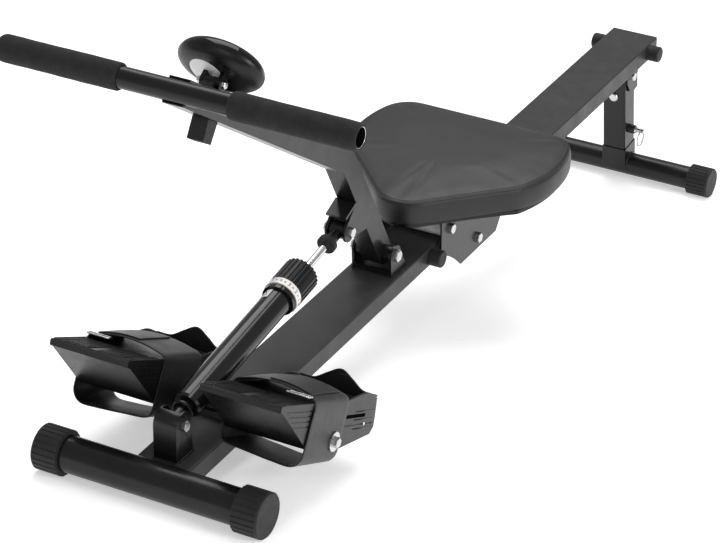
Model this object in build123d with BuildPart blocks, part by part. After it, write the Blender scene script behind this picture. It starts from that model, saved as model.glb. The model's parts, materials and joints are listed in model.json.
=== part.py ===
"""Hydraulic rowing machine: a sliding seat on an inclined rail, a pull arm on a damper, and two foot pedals.

Frame of the part: +X across the machine, +Y towards its rear, +Z up, millimetres.
The origin is the centre of the footprint box, on the floor.
"""
import os
from math import atan, cos, radians, sin, sqrt

from build123d import *

os.makedirs("parts", exist_ok=True)

# ---------------------------------------------------------------- driving dimensions
wheelbase = 1505.0          # front stabiliser axis to rear stabiliser axis
front_tube_r = 25.0
front_cap_r = 31.5
front_cap_half_span = 168.8
rear_tube_r = 19.0
rear_cap_r = 25.0
rear_cap_half_span = 170.0
cap_flat_depth = 0.5        # the bottom of each cap is worn flat by this much
cap_length = 38.0
tube_wall = 2.0

rail_slope = atan(0.1373)
rail_width = 80.0
rail_height = 30.0
rail_wall = 2.0
rail_rear_s = 1525.0
rail_datum_z = 43.9         # height of the rail's top face, produced forward to the front stabiliser

lower_eye_sn = (46.0, 49.0)       # damper's lower pivot in rail coordinates (along, above the top face)
upper_eye_sn = (494.0, 117.0)     # damper's upper pivot
arm_pivot_sn = (604.0, 31.0)
arm_bend_sn = (492.0, 227.0)
handle_sn = (74.0, 509.0)
arm_width = 30.0
arm_depth = 35.0
arm_wall = 2.0

crossbar_half = 254.8
crossbar_r = 14.3
grip_r = 18.2
grip_length = 176.0

pedal_axle_s = 160.0
pedal_axle_r = 10.0
pedal_inner_x = 53.0
pedal_outer_x = 171.5
pedal_pitch = radians(-25.5)      # sole's slope against the rail, toe up

front_stop_s = 700.0
rear_stop_s = 1495.0
stop_n = -15.0
stop_r = 13.0
stop_reach = 60.0

carriage_front_s = 713.5
carriage_plate_x = 50.0
carriage_plate_t = 3.0
carriage_top_n = 44.0
roller_r = 14.2
roller_flange_r = 17.0
roller_bolt_r = 4.0
upper_roller_s = (741.5, 925.0)
lower_roller_s = 833.7
roller_n = 14.5

seat_front_s = 655.0
seat_rear_s = 962.0
seat_board_t = 6.0
seat_crown_n = 82.0               # height of the seam, where the seat's crown begins
seat_top_n = 88.0

leg_pivot_sn = (1467.0, -50.5)
leg_width = 40.0
leg_wall = 2.0
leg_length = 135.0                # pivot to the lower end of the outer post
leg_pin_t = 104.0                 # pivot to the locking pin, along the leg
running_gap = 0.05                # radial clearance of a shaft in its bore
clear_gap = 0.3                   # gap between curved faces that only pass each other

# ---------------------------------------------------------------- worked-out places
overall_length = wheelbase + front_cap_r + rear_cap_r
front_axis_y = front_cap_r - overall_length / 2
rear_axis_y = front_axis_y + wheelbase
front_axis_z = front_cap_r - cap_flat_depth
rear_axis_z = rear_cap_r - cap_flat_depth


def at_rail(s, n):
    """World y and z of a point given along the rail and above its top face."""
    return (front_axis_y + s * cos(rail_slope) - n * sin(rail_slope),
            rail_datum_z + s * sin(rail_slope) + n * cos(rail_slope))


def rail_side(x=0.0):
    """Side plane of the rail: local x runs along the rail, local y rises square to its top face."""
    return Plane(origin=(x, front_axis_y, rail_datum_z),
                 x_dir=(0, cos(rail_slope), sin(rail_slope)), z_dir=(1, 0, 0))


def rail_deck(n=0.0):
    """Plane parallel to the rail's top face: local x is +X, local y runs along the rail."""
    y, z = at_rail(0, n)
    return Plane(origin=(0, y, z), x_dir=(1, 0, 0), z_dir=(0, -sin(rail_slope), cos(rail_slope)))


def rail_section(s=0.0):
    """Plane square to the rail, facing its rear end."""
    y, z = at_rail(s, 0)
    return Plane(origin=(0, y, z), x_dir=(-1, 0, 0), z_dir=(0, cos(rail_slope), sin(rail_slope)))


def world_side(x=0.0):
    """Side plane of the machine: local x is +Y and local y is +Z."""
    return Plane(origin=(x, 0, 0), x_dir=(0, 1, 0), z_dir=(1, 0, 0))


def finish(part, label):
    """Name a finished piece and write it to its own file."""
    part.label = label
    export_step(part, f"parts/{label}.step")


def finish_group(pieces, label):
    """Write identical loose pieces, such as a set of fasteners, as one node of separate solids."""
    finish(Part() + pieces, label)


def cross_rod(side, centre, radius, x_from, x_to, bore=0.0):
    """A round bar, or a sleeve if it has a bore, that runs along X."""
    with BuildPart() as rod:
        with BuildSketch(side(x_from)):
            with Locations(centre):
                Circle(radius)
                if bore:
                    Circle(bore, mode=Mode.SUBTRACT)
        extrude(amount=x_to - x_from)
    return rod.part


def side_plate(side, points, x_from, x_to):
    """A flat plate with the given side outline, between two stations along X."""
    with BuildPart() as plate:
        with BuildSketch(side(x_from)):
            with BuildLine():
                Polyline(*points, close=True)
            make_face()
        extrude(amount=x_to - x_from)
    return plate.part


def hex_head(side, centre, across_flats, x_from, x_to):
    """A hexagon bolt head or nut whose axis is along X, with a washer face."""
    with BuildPart() as head:
        with BuildSketch(side(x_from)):
            with Locations(centre):
                RegularPolygon(across_flats / sqrt(3), 6)
        extrude(amount=x_to - x_from)
        chamfer(head.edges().filter_by(GeomType.LINE).group_by(Axis.X)[-1 if x_to > x_from else 0], 0.7)
    return head.part


def cross_bolt(side, centre, radius, half_grip, across_flats=13.0):
    """Bolt through the machine along X: a shank, a hexagon head on +X and a nut on -X."""
    head_t = 6.0
    shank = cross_rod(side, centre, radius, -half_grip - head_t, half_grip)
    head = hex_head(side, centre, across_flats, half_grip, half_grip + head_t)
    nut = hex_head(side, centre, across_flats, -half_grip, -half_grip - head_t)
    return shank + head + nut


# ---------------------------------------------------------------- stabilisers and their end caps
def stabiliser_tube(y, z, radius, half_length):
    """Straight round tube across the machine."""
    return cross_rod(world_side, (y, z), radius, -half_length, half_length, radius - tube_wall)


def end_cap(y, z, radius, tube_radius, half_span, sign):
    """Fluted rubber cap on one end of a stabiliser tube; its lowest rib is flat on the floor."""
    mouth = sign * (half_span - cap_length)
    floor_half = 60.0
    flutes = 24
    with BuildPart() as cap:
        with BuildSketch(world_side(mouth)):
            with Locations((y, z)):
                Circle(radius)
                with PolarLocations(radius + 0.6, flutes, start_angle=180.0 / flutes):
                    Circle(1.8, mode=Mode.SUBTRACT)
        extrude(amount=sign * (cap_length - 4.0))
        with BuildSketch(world_side(sign * (half_span - 4.0))):
            with Locations((y, z)):
                Circle(radius)
        extrude(amount=sign * 4.0)
        chamfer(cap.faces().sort_by(Axis.X)[-1 if sign > 0 else 0].edges(), 1.5)
        with BuildSketch(world_side(mouth)):
            with Locations((y, z)):
                Circle(tube_radius)
        extrude(amount=sign * (cap_length - 5.0), mode=Mode.SUBTRACT)
        with BuildSketch(Plane.XY.offset(-5.0)):
            with Locations((sign * half_span, y)):
                Rectangle(2 * floor_half, 2 * floor_half)
        extrude(amount=5.0, mode=Mode.SUBTRACT)
    return cap.part


front_tube_half = front_cap_half_span - 5.0
rear_tube_half = rear_cap_half_span - 5.0
finish(stabiliser_tube(front_axis_y, front_axis_z, front_tube_r, front_tube_half), "front_stabiliser_tube")
finish(stabiliser_tube(rear_axis_y, rear_axis_z, rear_tube_r, rear_tube_half), "rear_stabiliser_tube")
finish_group([end_cap(front_axis_y, front_axis_z, front_cap_r, front_tube_r, front_cap_half_span, sign)
              for sign in (-1, 1)], "front_end_caps")
finish_group([end_cap(rear_axis_y, rear_axis_z, rear_cap_r, rear_tube_r, rear_cap_half_span, sign)
              for sign in (-1, 1)], "rear_end_caps")

# ---------------------------------------------------------------- rail
with BuildPart() as rail_beam:
    with BuildSketch(rail_section(0.0)):
        with Locations((0, -rail_height / 2)):
            RectangleRounded(rail_width, rail_height, 2.5)
    extrude(amount=rail_rear_s)
    with BuildSketch(rail_section(0.0)):
        with Locations((0, -rail_height / 2)):
            Rectangle(rail_width - 2 * rail_wall, rail_height - 2 * rail_wall)
    extrude(amount=rail_rear_s, mode=Mode.SUBTRACT)
    with BuildSketch(world_side(-rail_width)):
        with Locations((front_axis_y, front_axis_z)):
            Circle(front_tube_r)
        with Locations((front_axis_y - front_tube_r, front_axis_z)):
            Rectangle(2 * front_tube_r, 4 * front_tube_r)
    extrude(amount=2 * rail_width, mode=Mode.SUBTRACT)
    with BuildSketch(rail_side(-rail_width)):
        with Locations((front_stop_s, stop_n), (rear_stop_s, stop_n)):
            Circle(6.0)
    extrude(amount=2 * rail_width, mode=Mode.SUBTRACT)
finish(rail_beam.part, "rail_beam")

with BuildPart() as rail_end_plug:
    with BuildSketch(rail_section(rail_rear_s - 12.0)):
        with Locations((0, -rail_height / 2)):
            Rectangle(rail_width - 2 * rail_wall, rail_height - 2 * rail_wall)
    extrude(amount=12.0)
    with BuildSketch(rail_section(rail_rear_s)):
        with Locations((0, -rail_height / 2)):
            RectangleRounded(rail_width, rail_height, 2.5)
    extrude(amount=2.0)
finish(rail_end_plug.part, "rail_end_plug")

stop_centres = ((front_stop_s, stop_n), (rear_stop_s, stop_n))
finish_group([cross_rod(rail_side, centre, 6.0, -stop_reach + 4.0, stop_reach - 4.0)
              for centre in stop_centres], "stop_pins")


def stop_bumper(centre, sign):
    """Rubber sleeve, closed at its outer end, on one end of a stop pin."""
    with BuildPart() as bumper:
        with BuildSketch(rail_side(sign * (rail_width / 2 + clear_gap))):
            with Locations(centre):
                Circle(stop_r)
        extrude(amount=sign * (stop_reach - rail_width / 2 - clear_gap))
        chamfer(bumper.faces().sort_by(Axis.X)[-1 if sign > 0 else 0].edges(), 1.5)
        with BuildSketch(rail_side(sign * rail_width / 2)):
            with Locations(centre):
                Circle(6.0)
        extrude(amount=sign * (stop_reach - 4.0 - rail_width / 2), mode=Mode.SUBTRACT)
    return bumper.part


finish_group([stop_bumper(centre, sign) for centre in stop_centres for sign in (-1, 1)], "stop_bumpers")

# ---------------------------------------------------------------- damper's lower clevis
eye_r = 12.0
ear_t = 4.0
lower_ear_x = 13.5
clevis_arc_r = 19.0


def ear_outline(centre, radius, base_from, base_to, base_n):
    """Side outline of an ear: a foot on one level that rises to a round end about its bolt."""
    s, n = centre
    with BuildSketch() as ear:
        with BuildLine():
            Polyline((base_from, base_n), (base_to, base_n), (s + radius, n), (s - radius, n), close=True)
        make_face()
        with Locations(centre):
            Circle(radius)
    return ear.sketch


def ears(side, outline, bolt_centre, bolt_r, x_in, thickness):
    """A pair of equal ears either side of the centre plane, drilled for their bolt."""
    with BuildPart() as pair:
        for sign in (-1, 1):
            with BuildSketch(side(sign * x_in)):
                add(outline)
                with Locations(bolt_centre):
                    Circle(bolt_r, mode=Mode.SUBTRACT)
            extrude(amount=sign * thickness)
    return pair.part


lower_s, lower_n = lower_eye_sn
lower_ears = ears(rail_side, ear_outline(lower_eye_sn, clevis_arc_r, lower_s - 19.0, lower_s + 22.0, 0.0),
                  lower_eye_sn, 4.0, lower_ear_x, ear_t)
with BuildPart() as lower_clevis_web:
    with BuildSketch(rail_side(-lower_ear_x)):
        with BuildLine():
            Line((lower_s - 19.0, 0.0), (lower_s - 19.0, lower_n))
            CenterArc(lower_eye_sn, clevis_arc_r, 180, -85)
            Line(lower_eye_sn + Vector(clevis_arc_r * cos(radians(95)), clevis_arc_r * sin(radians(95))),
                 lower_eye_sn + Vector(15.0 * cos(radians(95)), 15.0 * sin(radians(95))))
            CenterArc(lower_eye_sn, 15.0, 95, 85)
            Line((lower_s - 15.0, lower_n), (lower_s - 15.0, 0.0))
            Line((lower_s - 15.0, 0.0), (lower_s - 19.0, 0.0))
        make_face()
    extrude(amount=2 * lower_ear_x)
finish(lower_ears + lower_clevis_web.part, "lower_clevis")
lower_clevis_bolt = cross_bolt(rail_side, lower_eye_sn, 3.95, lower_ear_x + ear_t)

# ---------------------------------------------------------------- arm's base bracket
bracket_ear_x = 28.0
foot_front_s, foot_rear_s = 591.0, 637.0
bracket_ears = ears(rail_side, ear_outline(arm_pivot_sn, 15.0, foot_front_s, foot_rear_s, 0.0),
                    arm_pivot_sn, 5.0, bracket_ear_x, ear_t)
with BuildPart() as bracket_web:
    with BuildSketch(rail_side(-bracket_ear_x)):
        with BuildLine():
            Polyline((foot_front_s, 0.0), (foot_rear_s, 0.0), (foot_rear_s, ear_t),
                     (foot_front_s + ear_t, ear_t), (foot_front_s + ear_t, 9.0), (foot_front_s, 9.0),
                     close=True)
        make_face()
    extrude(amount=2 * bracket_ear_x)
finish(bracket_ears + bracket_web.part, "arm_base_bracket")
finish(cross_bolt(rail_side, arm_pivot_sn, 5.0 - running_gap, bracket_ear_x + ear_t, 16.0), "arm_pivot_bolt")

# ---------------------------------------------------------------- pull arm
def unit(a, b):
    """Unit direction from point a to point b in a side plane."""
    return (Vector(*b) - Vector(*a)).normalized()


def arm_outline(depth):
    """Side outline of the bent arm: a band of the given depth about its centre line."""
    with BuildSketch() as outline:
        with BuildLine():
            Polyline(arm_pivot_sn, arm_bend_sn, handle_sn)
        trace(line_width=depth)
    return outline.sketch


bush_r = 9.0
with BuildPart() as handle_arm:
    with BuildSketch(rail_side(-arm_width / 2)):
        add(arm_outline(arm_depth))
        with Locations(arm_pivot_sn):
            Circle(arm_depth / 2)
    extrude(amount=arm_width)
    with BuildSketch(rail_side(-arm_width / 2 + arm_wall)):
        add(arm_outline(arm_depth - 2 * arm_wall))
    extrude(amount=arm_width - 2 * arm_wall, mode=Mode.SUBTRACT)
    with BuildSketch(rail_side(-arm_width)):
        with Locations(arm_pivot_sn):
            Circle(bush_r)
        with Locations(handle_sn):
            Circle(crossbar_r)
    extrude(amount=2 * arm_width, mode=Mode.SUBTRACT)
finish(handle_arm.part, "handle_arm")


def arm_bush(sign):
    """Flanged plastic bush in one side of the arm's pivot."""
    with BuildPart() as bush:
        with BuildSketch(rail_side(sign * (arm_width / 2 - 12.0))):
            with Locations(arm_pivot_sn):
                Circle(bush_r)
                Circle(5.0, mode=Mode.SUBTRACT)
        extrude(amount=sign * 12.0)
        with BuildSketch(rail_side(sign * arm_width / 2)):
            with Locations(arm_pivot_sn):
                Circle(12.0)
                Circle(5.0, mode=Mode.SUBTRACT)
        extrude(amount=sign * (bracket_ear_x - arm_width / 2 - 0.5))
    return bush.part


finish_group([arm_bush(sign) for sign in (-1, 1)], "arm_pivot_bushes")

# the clevis that takes the damper's rod eye: a channel welded to the front of the arm
upper_s, upper_n = upper_eye_sn
upper_ear_x = 12.0
weld_top = (513.0, 155.0)
weld_low = (545.0, 99.0)
with BuildSketch() as upper_ear:
    with BuildLine():
        Polyline(weld_top, weld_low, (upper_s + 8.0, upper_n - 13.0), (upper_s - 13.0, upper_n),
                 (upper_s - 9.0, upper_n + 12.0), close=True)
    make_face()
    with Locations(upper_eye_sn):
        Circle(15.0)
    with BuildLine():
        Polyline((476.0, 219.0), (580.0, 37.0), (620.0, 60.0), (520.0, 240.0), close=True)
    make_face(mode=Mode.SUBTRACT)
upper_ears = ears(rail_side, upper_ear.sketch, upper_eye_sn, 4.0, upper_ear_x, ear_t)
web_in = [(513.5, 152.0), (499.0, 146.0), (484.0, 140.0)]
web_out = [(482.0, 144.0), (497.5, 150.0), (511.0, 155.5)]
upper_web = side_plate(rail_side, web_in + web_out, -upper_ear_x - ear_t, upper_ear_x + ear_t)
finish(upper_ears + upper_web, "arm_clevis")
with BuildPart() as upper_bolt:
    for sign in (-1, 1):
        with BuildSketch(rail_side(sign * (upper_ear_x - 1.0))):
            with Locations(upper_eye_sn):
                Circle(3.95)
        extrude(amount=sign * (ear_t + 1.0))
        with BuildSketch(rail_side(sign * (upper_ear_x + ear_t))):
            with Locations(upper_eye_sn):
                RegularPolygon(13.0 / sqrt(3), 6)
        extrude(amount=sign * 6.0)
finish(upper_bolt.part, "arm_clevis_bolts")

# crossbar with its two foam grips, and the rubber block under the arm
crossbar_end = crossbar_half - 1.0
finish(cross_rod(rail_side, handle_sn, crossbar_r, -crossbar_end, crossbar_end, crossbar_r - 1.6), "crossbar")


def foam_grip(sign):
    """Soft foam sleeve on one end of the crossbar, open at the end."""
    with BuildPart() as grip:
        with BuildSketch(rail_side(sign * (crossbar_half - grip_length))):
            with Locations(handle_sn):
                Circle(grip_r)
        extrude(amount=sign * grip_length)
        fillet(grip.faces().filter_by(GeomType.PLANE).edges(), 3.0)
        with BuildSketch(rail_side(sign * (crossbar_half - grip_length))):
            with Locations(handle_sn):
                Circle(crossbar_r)
        extrude(amount=sign * grip_length, mode=Mode.SUBTRACT)
    return grip.part


finish_group([foam_grip(sign) for sign in (-1, 1)], "foam_grips")

arm_up = unit(arm_bend_sn, handle_sn)
arm_below = Vector(arm_up.Y, -arm_up.X) if arm_up.X > 0 else Vector(-arm_up.Y, arm_up.X)


def on_upper_arm(along, below):
    """Side point on the upper arm: measured from the crossbar towards the bend, and below the centre line."""
    point = Vector(*handle_sn) - arm_up * along + arm_below * below
    return (point.X, point.Y)


block_at = 92.0
block_half = 13.0
block_low = arm_depth / 2 + 30.0
block_side = [on_upper_arm(block_at - block_half, arm_depth / 2),
              on_upper_arm(block_at + block_half, arm_depth / 2),
              on_upper_arm(block_at + block_half - 1.5, block_low),
              on_upper_arm(block_at - block_half + 1.5, block_low)]
finish(side_plate(rail_side, block_side, -12.0, 12.0), "arm_rubber_block")

# ---------------------------------------------------------------- monitor on its neck
neck_at = 83.0
neck_rise = 10.0
tilt_at = on_upper_arm(neck_at, -arm_depth / 2 - neck_rise)
neck_points = [on_upper_arm(neck_at - 20.0, -arm_depth / 2), on_upper_arm(neck_at + 20.0, -arm_depth / 2),
               on_upper_arm(neck_at + 8.0, -arm_depth / 2 - neck_rise),
               on_upper_arm(neck_at - 8.0, -arm_depth / 2 - neck_rise)]
neck_half = 9.0
with BuildPart() as monitor_neck:
    with BuildSketch(rail_side(-neck_half)):
        with BuildLine():
            Polyline(*neck_points, close=True)
        make_face()
        with Locations(tilt_at):
            Circle(8.0)
            Circle(3.0, mode=Mode.SUBTRACT)
    extrude(amount=2 * neck_half)
finish(monitor_neck.part, "monitor_neck")

monitor_tilt = radians(50.0)           # the face leans back this far from level
monitor_half_x = 60.0
monitor_half_v = 49.0
monitor_back_t = 16.0
monitor_front_t = 18.0
tilt_y, tilt_z = at_rail(*tilt_at)
face_dir = Vector(0, sin(monitor_tilt), cos(monitor_tilt))
seam_centre = Vector(0, tilt_y, tilt_z) + face_dir * (monitor_back_t + 11.0)


def monitor_plane(height):
    """Plane parallel to the monitor's face: local y climbs it as the user sees it, and local x is -X."""
    return Plane(origin=tuple(seam_centre + face_dir * height), x_dir=(-1, 0, 0), z_dir=tuple(face_dir))


def monitor_layers(heights_and_scales):
    """Loft through ellipses that shrink away from the seam, for one half of the pebble-shaped case."""
    with BuildPart() as half:
        for height, scale in heights_and_scales:
            with BuildSketch(monitor_plane(height)):
                Ellipse(monitor_half_x * scale, monitor_half_v * scale)
        loft()
    return half.part


back_outer = monitor_layers([(0.0, 1.0), (-6.0, 0.97), (-12.0, 0.86), (-monitor_back_t, 0.66)])
back_inner = monitor_layers([(0.0, 0.95), (-6.0, 0.92), (-11.0, 0.80), (-monitor_back_t + 2.5, 0.60)])
lug_half = 5.0
fork_x = neck_half + 0.5
with BuildPart() as monitor_back:
    add(back_outer)
    add(back_inner, mode=Mode.SUBTRACT)
    for sign in (-1, 1):
        with BuildSketch(world_side(sign * fork_x)):
            with BuildLine():
                lug_up = Vector(cos(monitor_tilt), -sin(monitor_tilt)) * 8.0
                lug_in = Vector(sin(monitor_tilt), cos(monitor_tilt)) * 14.0
                lug_base = Vector(tilt_y, tilt_z)
                lug_corners = [lug_base + lug_up, lug_base + lug_up + lug_in, lug_base - lug_up + lug_in,
                               lug_base - lug_up]
                Polyline(*[(corner.X, corner.Y) for corner in lug_corners], close=True)
            make_face()
            with Locations((tilt_y, tilt_z)):
                Circle(8.0)
                Circle(3.0, mode=Mode.SUBTRACT)
        extrude(amount=sign * lug_half)
finish(monitor_back.part, "monitor_back_shell")

front_outer = monitor_layers([(0.0, 1.0), (5.0, 0.98), (11.0, 0.90), (monitor_front_t - 3.0, 0.76),
                              (monitor_front_t, 0.62)])
front_inner = monitor_layers([(0.0, 0.95), (5.0, 0.93), (10.0, 0.84), (monitor_front_t - 3.0, 0.62)])
screen_w, screen_h = 48.0, 26.0
screen_y = 6.0
button_r = 6.0
button_y = -17.0
with BuildPart() as monitor_front:
    add(front_outer)
    add(front_inner, mode=Mode.SUBTRACT)
    with BuildSketch(monitor_plane(0.0)):
        with Locations((0, screen_y)):
            RectangleRounded(screen_w, screen_h, 4.0)
        with Locations((0, button_y)):
            Circle(button_r + clear_gap)
    extrude(amount=monitor_front_t + 2.0, mode=Mode.SUBTRACT)
finish(monitor_front.part, "monitor_front_shell")

with BuildPart() as monitor_lens:
    with BuildSketch(monitor_plane(monitor_front_t - 3.0)):
        with Locations((0, screen_y)):
            RectangleRounded(screen_w, screen_h, 4.0)
    extrude(amount=2.6)
finish(monitor_lens.part, "monitor_lens")

with BuildPart() as monitor_board:
    with BuildSketch(monitor_plane(1.0)):
        Rectangle(62.0, 44.0)
    extrude(amount=1.6)
    with BuildSketch(monitor_plane(2.6)):
        with Locations((0, screen_y)):
            Rectangle(46.0, 24.0)
    extrude(amount=7.0)
finish(monitor_board.part, "monitor_circuit_board")

with BuildPart() as monitor_battery:
    with BuildSketch(monitor_plane(-9.0)):
        with Locations((0, 0)):
            Circle(6.5)
    extrude(amount=9.5)
finish(monitor_battery.part, "monitor_battery")

with BuildPart() as monitor_button:
    with BuildSketch(monitor_plane(5.0)):
        with Locations((0, button_y)):
            Circle(button_r)
    extrude(amount=monitor_front_t - 4.0)
    fillet(monitor_button.faces().sort_by(Axis.Z)[-1].edges(), 1.0)
finish(monitor_button.part, "monitor_button")
tilt_bolt_grip = fork_x + lug_half
finish(cross_bolt(world_side, (tilt_y, tilt_z), 3.0 - running_gap, tilt_bolt_grip, 9.0), "monitor_tilt_bolt")

# ---------------------------------------------------------------- damper
damper_rise = unit(lower_eye_sn, upper_eye_sn)
damper_y = damper_rise.X * cos(rail_slope) - damper_rise.Y * sin(rail_slope)
damper_z = damper_rise.X * sin(rail_slope) + damper_rise.Y * cos(rail_slope)
damper_length = sqrt((upper_s - lower_s) ** 2 + (upper_n - lower_n) ** 2)
lower_y, lower_z = at_rail(*lower_eye_sn)


def damper(t):
    """Plane square to the damper, at a distance from its lower pivot."""
    return Plane(origin=(0, lower_y + t * damper_y, lower_z + t * damper_z), x_dir=(1, 0, 0),
                 z_dir=(0, damper_y, damper_z))


def damper_disc(t_from, t_to, radius, bore=0.0):
    """A round solid on the damper's axis."""
    with BuildPart() as disc:
        with BuildSketch(damper(t_from)):
            Circle(radius)
            if bore:
                Circle(bore, mode=Mode.SUBTRACT)
        extrude(amount=t_to - t_from)
    return disc.part


tube_start, tube_end = 36.0, 284.0
dial_start, dial_end = 296.5, 343.0
dial_r = 26.0
rod_r = 5.5
cylinder_r = 20.0
cylinder_bore_r = 18.0
lower_barrel_x = lower_ear_x - 0.5
lower_barrel = cross_rod(rail_side, lower_eye_sn, eye_r, -lower_barrel_x, lower_barrel_x, 4.0)
with BuildPart() as lower_neck:
    with BuildSketch(damper(0.0)):
        Circle(9.0)
    extrude(amount=tube_start)
    with BuildSketch(damper(24.0)):
        Circle(15.0)
    extrude(amount=6.0)
    fillet(lower_neck.edges().filter_by(GeomType.CIRCLE).filter_by(lambda e: abs(e.radius - 15.0) < 0.1), 2.5)
    with BuildSketch(rail_side(-lower_barrel_x)):
        with Locations(lower_eye_sn):
            Circle(eye_r)
    extrude(amount=2 * lower_barrel_x, mode=Mode.SUBTRACT)
finish(lower_barrel + lower_neck.part, "damper_lower_eye")

with BuildPart() as damper_tube:
    with BuildSketch(damper(tube_start)):
        Circle(cylinder_r)
    extrude(amount=tube_end - tube_start)
    chamfer(damper_tube.faces().sort_by(Axis.Y)[0].edges(), 3.0)
    with BuildSketch(damper(tube_end - 7.0)):
        Circle(24.0)
    extrude(amount=7.0)
    with BuildSketch(damper(tube_start + 6.0)):
        Circle(cylinder_bore_r)
    extrude(amount=tube_end, mode=Mode.SUBTRACT)
finish(damper_tube.part, "damper_tube")

with BuildPart() as damper_gland:
    with BuildSketch(damper(tube_end - 14.0)):
        Circle(cylinder_bore_r)
        Circle(rod_r + running_gap, mode=Mode.SUBTRACT)
    extrude(amount=14.0)
    with BuildSketch(damper(tube_end)):
        Circle(15.0)
        Circle(rod_r + running_gap, mode=Mode.SUBTRACT)
    extrude(amount=dial_end - 12.0 - tube_end)
finish(damper_gland.part, "damper_gland")

with BuildPart() as damper_label:
    with BuildSketch(damper(tube_end - 26.0)):
        Circle(cylinder_r + 0.25)
        Circle(cylinder_r, mode=Mode.SUBTRACT)
        with BuildLine():
            Polyline((0, 0), (-60.0, 0.0), (-60.0, -60.0), (-12.0, -60.0), close=True)
        make_face(mode=Mode.INTERSECT)
    extrude(amount=17.0)
finish(damper_label.part, "damper_label")

dial_ribs = 24
with BuildPart() as resistance_dial:
    with BuildSketch(damper(dial_start)):
        Circle(dial_r)
        with PolarLocations(dial_r + 0.6, dial_ribs):
            Circle(2.2, mode=Mode.SUBTRACT)
    extrude(amount=dial_end - dial_start)
    chamfer(resistance_dial.faces().sort_by(Axis.Y)[-1].edges(), 0.6)
    with BuildSketch(damper(dial_start)):
        Circle(15.0 + clear_gap)
    extrude(amount=dial_end - 11.5 - dial_start, mode=Mode.SUBTRACT)
    with BuildSketch(damper(dial_start)):
        Circle(rod_r + clear_gap)
    extrude(amount=dial_end, mode=Mode.SUBTRACT)
finish(resistance_dial.part, "resistance_dial")
finish(damper_disc(tube_end + clear_gap, dial_start, dial_r - 0.5, 15.0 + clear_gap), "dial_scale_ring")

piston_at = 150.0
piston_t = 22.0
rod_end = damper_length - eye_r + 1.0
washer_at = damper_length - 40.0
finish(damper_disc(piston_at + piston_t, rod_end, rod_r), "piston_rod")
finish(damper_disc(piston_at, piston_at + piston_t, cylinder_bore_r - running_gap), "damper_piston")
finish(damper_disc(washer_at, washer_at + 7.0, 14.0, rod_r), "rod_bumper_washer")
eye_half = 10.0
with BuildPart() as rod_eye:
    with BuildSketch(damper(washer_at + 7.0)):
        Circle(8.5)
        Circle(rod_r, mode=Mode.SUBTRACT)
    extrude(amount=rod_end - washer_at - 7.0)
    with BuildSketch(rail_side(-eye_half)):
        with Locations(upper_eye_sn):
            Circle(eye_r)
    extrude(amount=2 * eye_half)
    with BuildSketch(damper(washer_at)):
        Circle(rod_r)
    extrude(amount=rod_end - washer_at, mode=Mode.SUBTRACT)
    with BuildSketch(rail_side(-eye_half)):
        with Locations(upper_eye_sn):
            Circle(4.0)
    extrude(amount=2 * eye_half, mode=Mode.SUBTRACT)
finish(rod_eye.part, "rod_eye")

# ---------------------------------------------------------------- seat carriage and its rollers
plate_low_n = -65.0
plate_rear_s = 950.0
roller_places = [(upper_roller_s[0], roller_n), (upper_roller_s[1], roller_n),
                 (lower_roller_s, -rail_height - roller_n)]
with BuildPart() as carriage_frame:
    for sign in (-1, 1):
        with BuildSketch(rail_side(sign * (carriage_plate_x - carriage_plate_t))):
            with BuildLine():
                Polyline((carriage_front_s, -18.0), (carriage_front_s, carriage_top_n),
                         (plate_rear_s, carriage_top_n), (plate_rear_s, 0.0),
                         (899.0, plate_low_n), (781.0, plate_low_n))
                ThreePointArc((781.0, plate_low_n), (752.0, -40.0), (carriage_front_s, -18.0))
            make_face()
            with Locations(*roller_places):
                Circle(roller_bolt_r, mode=Mode.SUBTRACT)
        extrude(amount=sign * carriage_plate_t)
    with BuildSketch(rail_deck(carriage_top_n - carriage_plate_t)):
        with Locations((0, (carriage_front_s + plate_rear_s) / 2)):
            Rectangle(2 * carriage_plate_x, plate_rear_s - carriage_front_s)
    extrude(amount=carriage_plate_t)
finish(carriage_frame.part, "carriage_frame")

roller_names = ("front_upper", "rear_upper", "lower")
finish_group([cross_bolt(rail_side, place, roller_bolt_r, carriage_plate_x, 14.0)
              for place in roller_places], "roller_bolts")
for name, place in zip(roller_names, roller_places):
    roller_half = carriage_plate_x - carriage_plate_t - 1.0
    flange_in = rail_width / 2 + 0.7
    body = cross_rod(rail_side, place, roller_r, -roller_half, roller_half)
    for sign in (-1, 1):
        body = body + cross_rod(rail_side, place, roller_flange_r, sign * flange_in, sign * roller_half)
    bore = cross_rod(rail_side, place, roller_bolt_r + running_gap, -roller_half, roller_half)
    finish(body - bore, f"{name}_roller")

seat_half_width = 164.0


def seat_outline(inset):
    """Seat's plan: a straight rear edge, full hips, and sides drawn in to a narrow nose."""
    middle_s = (seat_front_s + seat_rear_s) / 2
    x_scale = 1.0 - inset / seat_half_width
    s_scale = 1.0 - inset / (seat_rear_s - middle_s)

    def at(x, s):
        return (x * x_scale, middle_s + (s - middle_s) * s_scale)

    with BuildSketch() as plan:
        with BuildLine():
            ThreePointArc(at(0.0, seat_front_s), at(20.0, 657.5), at(38.0, 670.0))
            ThreePointArc(at(38.0, 670.0), at(92.0, 727.0), at(146.0, 777.0))
            ThreePointArc(at(146.0, 777.0), at(seat_half_width, 850.0), at(157.0, 921.0))
            ThreePointArc(at(157.0, 921.0), at(146.0, 945.0), at(120.0, seat_rear_s))
            Line(at(120.0, seat_rear_s), at(0.0, seat_rear_s))
            Line(at(0.0, seat_rear_s), at(0.0, seat_front_s))
        make_face()
        mirror(about=Plane.YZ)
    return plan.sketch


seat_bottom_n = carriage_top_n + seat_board_t
with BuildPart() as seat_board:
    with BuildSketch(rail_deck(carriage_top_n)):
        add(seat_outline(7.0))
    extrude(amount=seat_board_t)
finish(seat_board.part, "seat_board")

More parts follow.
